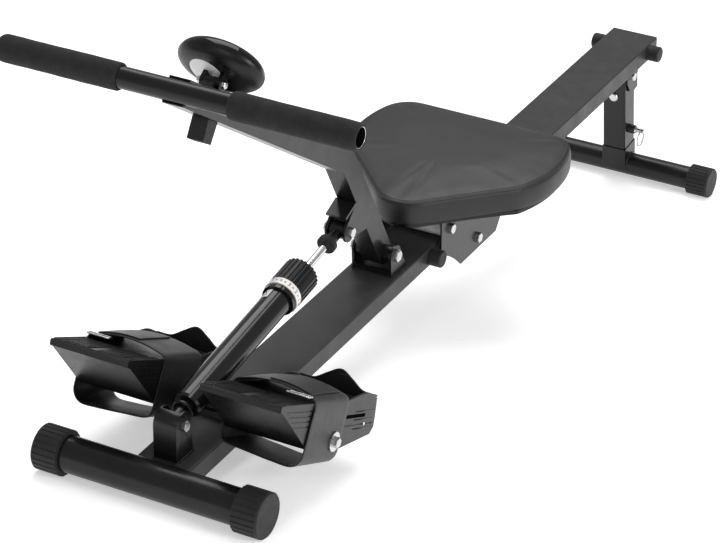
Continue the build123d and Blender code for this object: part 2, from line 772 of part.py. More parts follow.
with BuildPart() as seat_pad:
    with BuildSketch(rail_deck(seat_bottom_n)):
        add(seat_outline(0.0))
    extrude(amount=seat_crown_n - seat_bottom_n)
    with BuildSketch(rail_deck(seat_crown_n)):
        add(seat_outline(8.0))
    extrude(amount=seat_top_n - seat_crown_n)
finish(seat_pad.part, "seat_pad")

with BuildPart() as seat_bolts:
    for x in (-36.0, 36.0):
        for s in (760.0, 900.0):
            with BuildSketch(rail_deck(carriage_top_n - 7.0)):
                with Locations((x, s)):
                    Circle(6.5)
            extrude(amount=4.0)
finish(seat_bolts.part, "seat_bolts")

# ---------------------------------------------------------------- foot pedals
axle_uv = (170.0, -55.2)
axle_sn = (pedal_axle_s, pedal_axle_r)
u_dir = Vector(cos(pedal_pitch), sin(pedal_pitch))
v_dir = Vector(-sin(pedal_pitch), cos(pedal_pitch))
toe_sn = Vector(*axle_sn) - u_dir * axle_uv[0] - v_dir * axle_uv[1]


def pedal_side(x=0.0):
    """Side plane of a pedal: local x runs from toe to heel along the sole, local y rises square to it."""
    y, z = at_rail(toe_sn.X, toe_sn.Y)
    pitch = rail_slope + pedal_pitch
    return Plane(origin=(x, y, z), x_dir=(0, cos(pitch), sin(pitch)), z_dir=(1, 0, 0))


def pedal_face(v=0.0):
    """Plane parallel to the sole: local x is +X, local y runs from toe to heel."""
    base = pedal_side()
    origin = base.origin + base.y_dir * v
    return Plane(origin=tuple(origin), x_dir=(1, 0, 0), z_dir=tuple(base.y_dir))


def pedal_back(u):
    """Plane square to the sole's length: local x is -X, local y rises square to the sole."""
    base = pedal_side()
    origin = base.origin + base.x_dir * u
    return Plane(origin=tuple(origin), x_dir=(-1, 0, 0), z_dir=tuple(base.x_dir))


body_side = [(0.0, -2.0), (2.0, 0.0), (190.0, -4.0), (286.0, -10.0), (290.0, -29.0), (292.0, -43.0),
             (284.0, -53.0), (197.0, -67.0), (96.0, -62.0), (80.0, -52.0), (9.0, -11.0), (1.0, -9.0)]
hollow_side = [(15.0, -6.0), (188.0, -9.0), (281.0, -15.0), (285.0, -60.0), (280.0, -80.0), (99.0, -80.0),
               (99.0, -57.0), (84.0, -47.5)]
boss_r = 21.0
shell_t = 3.5
sole_wall = 3.0
strap_from_u, strap_to_u = 94.0, 194.0
strap_t = 2.0
strap_rise = 10.0
strap_low_v = -79.0
washer_r = 13.5
middle_x = (pedal_inner_x + pedal_outer_x) / 2
half_sole = (pedal_outer_x - pedal_inner_x) / 2


def pedal_body(low_x, high_x):
    """Moulded foot plate: a hollow wedge under the sole, with a boss across it for the axle."""
    with BuildPart() as body:
        with BuildSketch(pedal_side(low_x)):
            with BuildLine():
                Polyline(*body_side, close=True)
            make_face()
        extrude(amount=high_x - low_x)
        with BuildSketch(pedal_side(low_x + shell_t)):
            with BuildLine():
                Polyline(*hollow_side, close=True)
            make_face()
        extrude(amount=high_x - low_x - 2 * shell_t, mode=Mode.SUBTRACT)
        with BuildSketch(pedal_side(low_x)):
            with Locations(axle_uv):
                Circle(boss_r)
        extrude(amount=high_x - low_x)
        with BuildSketch(pedal_side((low_x + high_x) / 2 - 2.0)):
            with BuildLine():
                Polyline((20.0, -5.0), (280.0, -15.0), (280.0, -50.0), (197.0, -63.0), (96.0, -60.0),
                         close=True)
            make_face()
        extrude(amount=4.0)
        with BuildSketch(pedal_side(low_x)):
            with Locations(axle_uv):
                Circle(pedal_axle_r + running_gap)
        extrude(amount=high_x - low_x, mode=Mode.SUBTRACT)
        for edge_x, sign in ((low_x, 1), (high_x, -1)):
            for groove in range(4):
                with BuildSketch(pedal_side(edge_x)):
                    with BuildLine():
                        Polyline((16.0 + 8.0 * groove, -7.0 - 7.0 * groove), (90.0, -9.0 - 7.0 * groove),
                                 (90.0, -11.5 - 7.0 * groove), (20.0 + 8.0 * groove, -9.5 - 7.0 * groove),
                                 close=True)
                    make_face()
                extrude(amount=sign * 1.0, mode=Mode.SUBTRACT)
            with BuildSketch(pedal_side(edge_x)):
                with Locations((228.0, -25.0)):
                    Rectangle(58.0, 5.0)
            extrude(amount=sign * (shell_t + 1.0), mode=Mode.SUBTRACT)
            with BuildSketch(pedal_side(edge_x)):
                with Locations((241.0, -37.0)):
                    Rectangle(84.0, 1.6)
            extrude(amount=sign * 1.0, mode=Mode.SUBTRACT)
    return body.part


def heel_wall(low_x, high_x):
    """Thin heel guard: side walls that swell towards the heel, and a raised tab behind the foot."""
    start_u, end_u = 184.0, 285.0
    centre_x = (low_x + high_x) / 2
    with BuildPart() as wall:
        with BuildSketch(pedal_face(-10.0)):
            with Locations((centre_x, (start_u + end_u) / 2)):
                Rectangle(high_x - low_x, end_u - start_u)
                Rectangle(high_x - low_x - 2 * sole_wall, end_u - start_u + 50.0, mode=Mode.SUBTRACT)
            with Locations((centre_x, end_u - sole_wall / 2)):
                Rectangle(high_x - low_x, sole_wall)
        extrude(amount=40.0)
        with BuildSketch(pedal_side(low_x - 5.0)):
            with BuildLine():
                Line((start_u - 2.0, 60.0), (start_u - 2.0, -5.5))
                Spline((start_u - 2.0, -5.5), (225.0, 1.5), (252.0, 4.0), (end_u - 8.0, -0.5),
                       (end_u - 3.6, -1.0))
                Line((end_u - 3.6, -1.0), (end_u - 3.6, 60.0))
                Line((end_u - 3.6, 60.0), (start_u - 2.0, 60.0))
            make_face()
        extrude(amount=high_x - low_x + 10.0, mode=Mode.SUBTRACT)
        with BuildSketch(pedal_back(end_u - 5.0)):
            with BuildLine():
                Line((-high_x - 5.0, -1.0), (-high_x - 5.0, 60.0))
                Line((-high_x - 5.0, 60.0), (-low_x + 5.0, 60.0))
                Line((-low_x + 5.0, 60.0), (-low_x + 5.0, -1.0))
                Spline((-low_x + 5.0, -1.0), (-centre_x + 36.0, 0.0), (-centre_x, 20.0),
                       (-centre_x - 36.0, 0.0), (-high_x - 5.0, -1.0))
            make_face()
        extrude(amount=12.0, mode=Mode.SUBTRACT)
        with BuildSketch(pedal_side(low_x)):
            with BuildLine():
                Polyline(*body_side, close=True)
            make_face()
        extrude(amount=high_x - low_x, mode=Mode.SUBTRACT)
    return wall.part


def strap_outline(grow):
    """Section of the strap round the pedal, seen along the pedal; grow thickens it outwards."""
    gap = clear_gap + grow
    with BuildSketch() as section:
        with BuildLine():
            ThreePointArc((-half_sole - gap, grow), (0.0, strap_rise + grow), (half_sole + gap, grow))
            Polyline((half_sole + gap, grow), (half_sole + gap, strap_low_v - grow),
                     (-half_sole - gap, strap_low_v - grow), (-half_sole - gap, grow))
        make_face()
    return section.sketch


def foot_strap(centre_x):
    """Broad vinyl strap that passes over the foot, down both sides of the pedal and under it."""
    with BuildPart() as strap:
        with BuildSketch(pedal_back(strap_from_u)):
            with Locations((-centre_x, 0.0)):
                add(strap_outline(strap_t))
                add(strap_outline(0.0), mode=Mode.SUBTRACT)
        extrude(amount=strap_to_u - strap_from_u)
        with BuildSketch(pedal_side(centre_x - 100.0)):
            with Locations(axle_uv):
                Circle(pedal_axle_r + 1.0)
        extrude(amount=200.0, mode=Mode.SUBTRACT)
    return strap.part


for side_name, sign in (("left", -1), ("right", 1)):
    low_x, high_x = sorted((sign * pedal_inner_x, sign * pedal_outer_x))
    finish(pedal_body(low_x, high_x) + heel_wall(low_x, high_x), f"foot_pedal_{side_name}")
    finish(foot_strap(sign * middle_x), f"foot_strap_{side_name}")
    loop_x = sign * (pedal_outer_x - 22.0)
    with BuildPart() as strap_loop:
        with BuildSketch(pedal_face(strap_rise - 1.0)):
            with Locations((loop_x, strap_from_u - 7.0)):
                RectangleRounded(32.0, 12.0, 3.0)
                RectangleRounded(26.0, 6.0, 1.5, mode=Mode.SUBTRACT)
        extrude(amount=3.0)
    finish(strap_loop.part, f"strap_loop_{side_name}")

axle_half = pedal_outer_x + strap_t + 2 * clear_gap


def axle_end_bolt(sign):
    """Bolt with a broad washer that holds a pedal on its end of the axle."""
    washer = cross_rod(rail_side, axle_sn, washer_r, sign * axle_half, sign * (axle_half + 2.0))
    return washer + hex_head(rail_side, axle_sn, 13.0, sign * (axle_half + 2.0), sign * (axle_half + 8.0))


finish_group([axle_end_bolt(sign) for sign in (-1, 1)], "pedal_axle_bolts")
with BuildPart() as pedal_axle:
    add(cross_rod(rail_side, axle_sn, pedal_axle_r, -axle_half, axle_half))
    for sign in (-1, 1):
        with BuildSketch(rail_side(sign * (pedal_inner_x - 9.0))):
            with Locations(axle_sn):
                Circle(15.0)
        extrude(amount=sign * 6.0)
    with BuildSketch(rail_side(-30.0)):
        with BuildLine():
            Polyline((axle_sn[0] - 13.0, 0.0), (axle_sn[0] + 13.0, 0.0), (axle_sn[0] + 9.0, 9.0),
                     (axle_sn[0] - 9.0, 9.0), close=True)
        make_face()
    extrude(amount=60.0)
finish(pedal_axle.part, "pedal_axle")

# ---------------------------------------------------------------- rear leg
pivot_y, pivot_z = at_rail(*leg_pivot_sn)
foot_reach = sqrt((rear_axis_y - pivot_y) ** 2 + (rear_axis_z - pivot_z) ** 2)
leg_dir = Vector(0, (rear_axis_y - pivot_y) / foot_reach, (rear_axis_z - pivot_z) / foot_reach)


def leg_side(x=0.0):
    """Side plane of the leg: local x runs down the leg from its pivot, local y points to the rear."""
    return Plane(origin=(x, pivot_y, pivot_z), x_dir=tuple(leg_dir), z_dir=(1, 0, 0))


def leg_section(t):
    """Plane square to the leg, at a distance below its pivot."""
    origin = Vector(0, pivot_y, pivot_z) + leg_dir * t
    return Plane(origin=tuple(origin), x_dir=(1, 0, 0), z_dir=tuple(leg_dir))


def leg_back(r):
    """Plane facing the rear, square to the leg's depth; local x is -X and local y points up the leg."""
    rear = leg_side().y_dir
    origin = Vector(0, pivot_y, pivot_z) + rear * r
    return Plane(origin=tuple(origin), x_dir=(-1, 0, 0), z_dir=tuple(rear))


half_leg = leg_width / 2
inner_half = half_leg - leg_wall - 1.0
knob_t = 12.0
web_r = half_leg + 0.8
ear_x = half_leg + 0.6
ear_plate_t = 3.0
with BuildPart() as rear_ear_bracket:
    for sign in (-1, 1):
        with BuildSketch(leg_side(sign * ear_x)):
            with BuildLine():
                Polyline((-30.0, -17.0), (8.0, -17.0), (26.0, -8.0), (34.0, 4.0), (32.0, web_r + 3.0),
                         (-30.0, web_r + 3.0), close=True)
            make_face()
            with Locations((0, 0)):
                Circle(5.0, mode=Mode.SUBTRACT)
        extrude(amount=sign * ear_plate_t)
    with BuildSketch(leg_back(web_r)):
        with Locations((0, 0)):
            Rectangle(2 * ear_x, 60.0)
            with Locations((0, -knob_t)):
                Circle(4.0 + running_gap, mode=Mode.SUBTRACT)
    extrude(amount=3.0)
    with BuildSketch(rail_side(-100.0)):
        with BuildLine():
            Polyline((1400.0, -rail_height), (1560.0, -rail_height), (1560.0, 60.0), (1400.0, 60.0),
                     close=True)
        make_face()
    extrude(amount=200.0, mode=Mode.SUBTRACT)
finish(rear_ear_bracket.part, "rear_ear_bracket")
rear_pivot_bolt = cross_bolt(leg_side, (0, 0), 5.0 - running_gap, ear_x + ear_plate_t, 13.0)
finish_group([lower_clevis_bolt, rear_pivot_bolt], "frame_pivot_bolts")

slot_top_t, slot_low_t = leg_pin_t - 58.0, leg_pin_t + 5.0
with BuildPart() as rear_leg_post:
    with BuildSketch(leg_section(0.0)):
        RectangleRounded(leg_width, leg_width, 3.0)
    extrude(amount=leg_length)
    with BuildSketch(leg_side(-half_leg)):
        Circle(half_leg - 1.0)
    extrude(amount=leg_width)
    with BuildSketch(leg_section(28.0)):
        Rectangle(leg_width - 2 * leg_wall, leg_width - 2 * leg_wall)
    extrude(amount=leg_length, mode=Mode.SUBTRACT)
    with BuildSketch(leg_side(-half_leg)):
        Circle(5.0)
    extrude(amount=leg_width, mode=Mode.SUBTRACT)
    with BuildSketch(leg_side(half_leg)):
        with Locations((leg_pin_t, 0)):
            Circle(7.5)
    extrude(amount=10.0)
    with BuildSketch(leg_side(0.0)):
        with Locations((leg_pin_t, 0)):
            Circle(4.0 + running_gap)
    extrude(amount=leg_width, mode=Mode.SUBTRACT)
    with BuildSketch(leg_section(-half_leg)):
        with Locations((0, 0)):
            Rectangle(2 * leg_width, 2 * leg_width)
    extrude(amount=0.9, mode=Mode.SUBTRACT)
finish(rear_leg_post.part, "rear_leg_post")

with BuildPart() as leg_stop_bolt:
    with BuildSketch(leg_back(-half_leg - 4.0)):
        with Locations((0, -35.0)):
            Circle(8.0)
    extrude(amount=4.0)
    fillet(leg_stop_bolt.faces().sort_by(Axis.Y)[0].edges(), 3.0)
finish(leg_stop_bolt.part, "leg_carriage_bolt")

saddle_from = leg_length + 1.5
foot_post_top = 34.0
with BuildPart() as rear_foot_post:
    with BuildSketch(leg_section(foot_post_top)):
        Rectangle(2 * inner_half, 2 * inner_half)
        Rectangle(2 * inner_half - 2 * leg_wall, 2 * inner_half - 2 * leg_wall, mode=Mode.SUBTRACT)
    extrude(amount=foot_reach - foot_post_top)
    with BuildSketch(leg_section(saddle_from)):
        Rectangle(leg_width + 2.0, leg_width + 2.0)
    extrude(amount=foot_reach - saddle_from)
    with BuildSketch(leg_section(saddle_from + 4.0)):
        Rectangle(leg_width - 6.0, leg_width - 6.0)
    extrude(amount=foot_reach, mode=Mode.SUBTRACT)
    with BuildSketch(leg_side(0.0)):
        with Locations(((slot_top_t + slot_low_t) / 2, 0)):
            SlotOverall(slot_low_t - slot_top_t, 9.0)
    extrude(amount=leg_width, mode=Mode.SUBTRACT)
    with BuildSketch(leg_side(-leg_width)):
        with Locations((foot_reach, 0)):
            Circle(rear_tube_r)
    extrude(amount=2 * leg_width, mode=Mode.SUBTRACT)
finish(rear_foot_post.part, "rear_foot_post")

pin_tip_x, pin_head_x = 12.0, 46.0
ring_r, ring_wire_r = 13.0, 1.2
ring_x = pin_head_x - 4.5
ring_top = Vector(0, pivot_y, pivot_z) + leg_dir * leg_pin_t
with BuildPart() as lock_pin:
    with BuildSketch(leg_side(pin_tip_x)):
        with Locations((leg_pin_t, 0)):
            Circle(4.0)
    extrude(amount=pin_head_x - pin_tip_x)
    with BuildSketch(leg_side(half_leg + 10.5)):
        with Locations((leg_pin_t, 0)):
            Circle(6.0)
    extrude(amount=3.0)
    with BuildSketch(Plane(origin=(ring_x, ring_top.Y - 10.0, ring_top.Z), x_dir=(1, 0, 0), z_dir=(0, 1, 0))):
        Circle(2.1)
    extrude(amount=20.0, mode=Mode.SUBTRACT)
finish(lock_pin.part, "lock_pin")
with BuildPart() as pull_ring:
    with BuildSketch(Plane(origin=(ring_x, ring_top.Y, ring_top.Z), x_dir=(1, 0, 0), z_dir=(0, 1, 0))):
        Circle(ring_wire_r)
    revolve(axis=Axis((ring_x, ring_top.Y, ring_top.Z - ring_r), (1, 0, 0)), revolution_arc=360)
finish(pull_ring.part, "pull_ring")

with BuildPart() as star_knob:
    with BuildSketch(leg_back(half_leg + 0.4)):
        with Locations((0, -knob_t)):
            Circle(4.0)
    extrude(amount=14.0)
    with BuildSketch(leg_back(web_r + 4.0)):
        with Locations((0, -knob_t)):
            Circle(13.0)
            with PolarLocations(13.5, 6):
                Circle(5.0)
    extrude(amount=12.0)
finish(star_knob.part, "star_knob")
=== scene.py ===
"""Looks of the rowing machine: materials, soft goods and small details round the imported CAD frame.

Everything is in metres, in the part's own frame: +X across, +Y to the rear, +Z up.
Directions and places come from the CAD's joints and node boxes.
Here s runs along the rail and n rises square to it.
"""
import json
import math
import random

import bmesh
import bpy
import numpy as np
from mathutils import Matrix, Vector


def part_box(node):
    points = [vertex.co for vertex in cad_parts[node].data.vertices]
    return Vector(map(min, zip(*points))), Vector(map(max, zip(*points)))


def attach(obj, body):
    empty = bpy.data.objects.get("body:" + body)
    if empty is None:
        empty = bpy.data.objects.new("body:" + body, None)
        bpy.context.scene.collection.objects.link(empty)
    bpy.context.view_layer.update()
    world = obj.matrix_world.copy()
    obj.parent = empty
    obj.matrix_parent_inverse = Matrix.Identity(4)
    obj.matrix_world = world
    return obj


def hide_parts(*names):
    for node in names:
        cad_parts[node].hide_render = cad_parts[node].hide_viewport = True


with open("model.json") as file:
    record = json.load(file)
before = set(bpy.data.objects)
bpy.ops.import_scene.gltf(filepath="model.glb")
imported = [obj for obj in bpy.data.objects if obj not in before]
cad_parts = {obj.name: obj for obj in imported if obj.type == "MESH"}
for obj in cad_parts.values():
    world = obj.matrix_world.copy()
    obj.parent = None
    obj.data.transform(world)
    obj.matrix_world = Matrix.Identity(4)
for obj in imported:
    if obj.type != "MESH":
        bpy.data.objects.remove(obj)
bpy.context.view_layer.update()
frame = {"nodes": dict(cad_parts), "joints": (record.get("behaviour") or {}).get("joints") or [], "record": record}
nodes = frame["nodes"]
joints = {joint["name"]: joint for joint in frame["joints"]}
mm = 0.001

# ---------------------------------------------------------------- directions and places taken from the frame
ACROSS = Vector((1, 0, 0))
RAIL = Vector(joints["seat_roll"]["axis"])
RAIL_UP = ACROSS.cross(RAIL)
DAMPER = Vector(joints["rod_stroke"]["axis"])
DAMPER_UP = ACROSS.cross(DAMPER)
LEG = Vector(joints["foot_height"]["axis"])
FACE = -Vector(joints["monitor_press"]["axis"])
FACE_UP = ACROSS.cross(FACE)


def place(joint_name):
    """A joint's pivot."""
    return Vector(joints[joint_name]["pos_m"])


def span(node, direction):
    """Lowest and highest reach of a CAD node along a direction."""
    reach = [vertex.co.dot(direction) for vertex in nodes[node].data.vertices]
    return min(reach), max(reach)


def centre(node):
    """Middle of a CAD node's box."""
    low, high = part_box(node)
    return (low + high) / 2


def on_rail(x, s, n):
    """Point from its reach across, along the rail and square to it, all measured from the origin."""
    return ACROSS * x + RAIL * s + RAIL_UP * n


# ---------------------------------------------------------------- shader building blocks
class Surface:
    """A principled material whose colour, roughness and bump are built from nodes in object space."""

    def __init__(self, name, roughness=0.5, **constants):
        self.material = bpy.data.materials.new(name)
        self.material.use_nodes = True
        self.tree = self.material.node_tree
        self.shader = self.tree.nodes["Principled BSDF"]
        self.shader.inputs["Roughness"].default_value = roughness
        for socket, value in constants.items():
            self.shader.inputs[socket.replace("_", " ")].default_value = value
        self.place = self.tree.nodes.new("ShaderNodeTexCoord").outputs["Object"]
        self.normal = None

    def new(self, kind, links=(), **settings):
        """Add a node, set its properties, and link or set its numbered inputs."""
        node = self.tree.nodes.new(kind)
        for key, value in settings.items():
            setattr(node, key, value)
        for socket, value in links:
            if isinstance(value, bpy.types.NodeSocket):
                self.tree.links.new(value, node.inputs[socket])
            else:
                node.inputs[socket].default_value = value
        return node

    def stretched(self, scale):
        """Object coordinates scaled apart along X, Y and Z."""
        return self.new("ShaderNodeMapping", [("Vector", self.place), ("Scale", scale)]).outputs[0]

    def noise(self, scale, detail=3.0, roughness=0.5, vector=None):
        links = [("Vector", vector or self.place), ("Scale", scale), ("Detail", detail),
                 ("Roughness", roughness)]
        return self.new("ShaderNodeTexNoise", links).outputs[0]

    def cells(self, scale, feature="F1", vector=None):
        links = [("Vector", vector or self.place), ("Scale", scale)]
        return self.new("ShaderNodeTexVoronoi", links, feature=feature).outputs["Distance"]

    def remap(self, value, low, high, to_low, to_high):
        links = [(0, value), (1, low), (2, high), (3, to_low), (4, to_high)]
        return self.new("ShaderNodeMapRange", links).outputs[0]

    def math(self, operation, a, b=0.0):
        return self.new("ShaderNodeMath", [(0, a), (1, b)], operation=operation).outputs[0]

    def blend(self, factor, a, b):
        links = [("Factor", factor), (6, a), (7, b)]
        return self.new("ShaderNodeMix", links, data_type="RGBA").outputs[2]

    def upward(self):
        """How far the surface faces up, from 0 to 1."""
        normal = self.new("ShaderNodeNewGeometry").outputs["Normal"]
        return self.new("ShaderNodeSeparateXYZ", [(0, normal)]).outputs["Z"]

    def colour(self, value):
        self.tree.links.new(value, self.shader.inputs["Base Color"])

    def gloss(self, value):
        self.tree.links.new(value, self.shader.inputs["Roughness"])

    def bump(self, height, strength, distance):
        links = [("Strength", strength), ("Distance", distance), ("Height", height)]
        if self.normal:
            links.append(("Normal", self.normal))
        self.normal = self.new("ShaderNodeBump", links).outputs[0]
        self.tree.links.new(self.normal, self.shader.inputs["Normal"])


def grey(level, warm=0.0):
    """A near-neutral colour; warm leans it to red."""
    return (level * (1 + warm), level, level * (1 - warm), 1.0)


# ---------------------------------------------------------------- materials
def coated_metal(name, level, roughness, coat=0.0):
    """Powder coat or paint: fine orange peel, faint cloudiness, and paler patches where it faces up."""
    surface = Surface(name, Coat_Weight=coat, Coat_Roughness=0.12, Specular_IOR_Level=0.26)
    cloud = surface.noise(14.0, 4.0, 0.6)
    base = surface.blend(surface.remap(cloud, 0.3, 0.7, 0.0, 1.0), grey(level * 0.85), grey(level * 1.2))
    # Paler colour in noisy patches on the faces that point up, fading out towards the sides.
    paler_facing_up = surface.math("MULTIPLY", surface.remap(surface.upward(), 0.6, 1.0, 0.0, 0.25),
                        surface.remap(surface.noise(60.0, 6.0, 0.7), 0.45, 0.75, 0.0, 1.0))
    surface.colour(surface.blend(paler_facing_up, base, grey(level * 2.2 + 0.01, 0.04)))
    smear = surface.noise(30.0, 5.0, 0.65)
    surface.gloss(surface.remap(smear, 0.3, 0.75, roughness * 0.85, roughness * 1.25))
    surface.bump(surface.noise(1100.0, 2.0), 0.10, 0.0004)
    surface.bump(surface.noise(260.0, 2.0), 0.06, 0.0006)
    return surface.material


def moulded_plastic(name, level, roughness, grain=1500.0, depth=0.25):
    """Injection-moulded plastic: a spark-eroded grain with slightly polished patches."""
    surface = Surface(name, Specular_IOR_Level=0.3)
    tone = surface.noise(22.0, 4.0, 0.6)
    patches = surface.remap(tone, 0.3, 0.7, 0.0, 1.0)
    surface.colour(surface.blend(patches, grey(level * 0.8), grey(level * 1.3)))
    surface.gloss(surface.remap(surface.noise(45.0, 4.0, 0.7), 0.3, 0.75, roughness * 0.8, roughness * 1.2))
    surface.bump(surface.cells(grain), depth, 0.0003)
    surface.bump(surface.noise(grain / 4, 3.0), depth * 0.5, 0.0003)
    return surface.material


def soft_rubber(name, level, roughness, grain, depth):
    """Rubber or foam: matte, finely pitted, with paler rubbed patches."""
    surface = Surface(name, Sheen_Weight=0.04, Sheen_Roughness=0.6, Specular_IOR_Level=0.3)
    rubbed = surface.remap(surface.noise(35.0, 6.0, 0.7), 0.4, 0.8, 0.0, 1.0)
    surface.colour(surface.blend(rubbed, grey(level), grey(level * 1.7, 0.02)))
    wear = surface.noise(80.0, 3.0)
    surface.gloss(surface.remap(wear, 0.3, 0.7, roughness * 0.92, min(1.0, roughness * 1.1)))
    surface.bump(surface.cells(grain), depth, 0.0005)
    surface.bump(surface.noise(grain * 0.35, 4.0, 0.65), depth * 0.7, 0.0006)
    return surface.material


def leather_cloth(name, level, roughness, grain):
    """Vinyl upholstery: pebble grain in fine cells, soft sheen, and a slow drift of tone."""
    surface = Surface(name, Sheen_Weight=0.03, Sheen_Roughness=0.4, Coat_Weight=0.06, Coat_Roughness=0.4,
                      Specular_IOR_Level=0.4)
    drift = surface.noise(9.0, 3.0, 0.5)
    pores = surface.cells(grain, "DISTANCE_TO_EDGE")
    crease = surface.remap(pores, 0.0, 0.12, 1.0, 0.0)
    base = surface.blend(surface.remap(drift, 0.3, 0.7, 0.0, 1.0), grey(level * 0.88), grey(level * 1.12))
    surface.colour(surface.blend(surface.math("MULTIPLY", crease, 0.45), base, grey(level * 0.5)))
    surface.gloss(surface.remap(surface.noise(26.0, 5.0, 0.65), 0.3, 0.7, roughness * 0.88, roughness * 1.15))
    surface.bump(surface.remap(pores, 0.0, 0.35, 0.0, 1.0), 0.22, 0.0003)
    surface.bump(surface.noise(180.0, 4.0, 0.6), 0.10, 0.0006)
    return surface.material


def bright_metal(name, level, roughness, scratch, warm=0.0):
    """Zinc plate or hard chrome: brushed streaks, cloudy plating and darker specks."""
    surface = Surface(name, Metallic=1.0)
    streak = surface.noise(220.0, 4.0, 0.6, surface.stretched((6.0, 1.0, 1.0)))
    cloud = surface.noise(90.0, 4.0, 0.65)
    tarnish = surface.remap(cloud, 0.35, 0.7, 0.0, 1.0)
    surface.colour(surface.blend(tarnish, grey(level, warm), grey(level * 0.8, warm)))
    surface.gloss(surface.remap(streak, 0.3, 0.7, roughness * 0.7, roughness * 1.4))
    surface.bump(streak, scratch, 0.0002)
    return surface.material


def printed_sheet(name, colour, roughness):
    """Printed film: flat ink with a slight mottle and edge soiling."""
    surface = Surface(name, Coat_Weight=0.3, Coat_Roughness=0.2)
    soil = surface.remap(surface.noise(120.0, 5.0, 0.7), 0.55, 0.8, 0.0, 0.35)
    darker = tuple(channel * 0.55 for channel in colour) + (1.0,)
    surface.colour(surface.blend(soil, colour + (1.0,), darker))
    surface.gloss(surface.remap(surface.noise(60.0), 0.3, 0.7, roughness * 0.8, roughness * 1.3))
    surface.bump(surface.noise(700.0, 2.0), 0.08, 0.0002)
    return surface.material


def display_glass(name):
    """Smoked display window with faint smears."""
    surface = Surface(name, Specular_IOR_Level=0.6, Coat_Weight=1.0, Coat_Roughness=0.03)
    smear = surface.noise(40.0, 4.0, 0.7)
    surface.colour(surface.blend(smear, (0.05, 0.06, 0.055, 1.0), (0.10, 0.115, 0.10, 1.0)))
    surface.gloss(surface.remap(smear, 0.3, 0.7, 0.04, 0.12))
    return surface.material


finishes = {
    "frame_black": coated_metal("frame_black", 0.006, 0.30, coat=0.12),
    "rail_black": coated_metal("rail_black", 0.030, 0.42, coat=0.05),
    "damper_black": coated_metal("damper_black", 0.006, 0.20, coat=0.3),
    "rubber_black": soft_rubber("rubber_black", 0.008, 0.60, 1300.0, 0.3),
    "foam_black": soft_rubber("foam_black", 0.011, 0.88, 900.0, 0.8),
    "zinc": bright_metal("zinc", 0.62, 0.24, 0.08),
    "chrome": bright_metal("chrome", 0.80, 0.09, 0.03),
    "vinyl_black": leather_cloth("vinyl_black", 0.010, 0.44, 900.0),
    "strap_vinyl": leather_cloth("strap_vinyl", 0.006, 0.42, 1400.0),
    "plastic_black": moulded_plastic("plastic_black", 0.004, 0.32),
    "gloss_black": moulded_plastic("gloss_black", 0.004, 0.06, 300.0, 0.01),
    "roller_white": moulded_plastic("roller_white", 0.62, 0.42),
    "scale_white": printed_sheet("scale_white", (0.82, 0.81, 0.78), 0.35),
    "label_white": printed_sheet("label_white", (0.80, 0.80, 0.80), 0.40),
    "lens": display_glass("lens"),
    "board_green": moulded_plastic("board_green", 0.08, 0.4),
    "battery": bright_metal("battery", 0.6, 0.3, 0.05, 0.06),
    "button_grey": moulded_plastic("button_grey", 0.22, 0.5),
}
red_ink = printed_sheet("red_ink", (0.55, 0.02, 0.02), 0.4)
black_ink = printed_sheet("black_ink", (0.012, 0.012, 0.014), 0.4)
# Pale grey thread: the stitches' paleness also paints the bright highlight line along the seat's seam.
grey_thread_painted_highlight = soft_rubber("grey_thread_painted_highlight", 0.10, 0.7, 2500.0, 0.4)


def paint(piece, slot):
    """Give a piece the finish of one of the record's material slots."""
    piece.data.materials.clear()
    piece.data.materials.append(finishes[slot])


for subpart in frame["record"]["subparts"]:
    paint(nodes[subpart["node"]], subpart["material_slot"])


def ease_edges(node, width):
    """Round the pressed or cut edges of a boxy CAD node by a hair, so that they catch the light."""
    piece = nodes[node]
    weld = piece.modifiers.new("weld", "WELD")
    weld.merge_threshold = 0.00001
    bevel = piece.modifiers.new("bevel", "BEVEL")
    bevel.limit_method = "ANGLE"
    bevel.angle_limit = math.radians(35)
    bevel.width = width
    bevel.segments = 2
    bevel.harden_normals = False


# ---------------------------------------------------------------- mesh building blocks
def mesh_piece(name, vertices, faces, slot, body, smooth=True):
    """A new mesh piece that rides on a body and takes a slot's finish."""
    mesh = bpy.data.meshes.new(name)
    mesh.from_pydata([tuple(vertex) for vertex in vertices], [], faces)
    piece = bpy.data.objects.new(name, mesh)
    bpy.context.scene.collection.objects.link(piece)
    tidy = bmesh.new()
    tidy.from_mesh(mesh)
    bmesh.ops.recalc_face_normals(tidy, faces=tidy.faces)
    tidy.to_mesh(mesh)
    tidy.free()
    if smooth:
        mesh.polygons.foreach_set("use_smooth", [True] * len(mesh.polygons))
    paint(piece, slot)
    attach(piece, body)
    return piece


def grid_faces(rows, columns, start=0, wrap_rows=False, wrap_columns=False):
    """Quads over a grid of vertices stored row by row."""
    faces = []
    for row in range(rows if wrap_rows else rows - 1):
        for column in range(columns if wrap_columns else columns - 1):
            next_row = (row + 1) % rows
            next_column = (column + 1) % columns
            faces.append([start + row * columns + column, start + row * columns + next_column,
                          start + next_row * columns + next_column, start + next_row * columns + column])
    return faces


def tube(path, radius, closed=False, sides=10, wobble=0.0, seed=0):
    """Vertices and faces of a round tube along a path; wobble makes it lumpy, as a weld bead is."""
    draw = random.Random(seed)
    count = len(path)
    vertices = []
    across = None
    for index, point in enumerate(path):
        before = path[index - 1] if closed or index else point
        after = path[(index + 1) % count] if closed or index < count - 1 else point
        ahead = (after - before).normalized()
        if across is None:
            across = ahead.orthogonal()
        across = (across - ahead * across.dot(ahead)).normalized()
        other = ahead.cross(across)
        size = radius * (1 + wobble * draw.uniform(-1, 1))
        for side in range(sides):
            angle = 2 * math.pi * side / sides
            vertices.append(point + (across * math.cos(angle) + other * math.sin(angle)) * size)
    faces = grid_faces(count, sides, wrap_rows=closed, wrap_columns=True)
    if not closed:
        faces.append(list(range(sides)))
        faces.append(list(range((count - 1) * sides, count * sides)))
    return vertices, faces


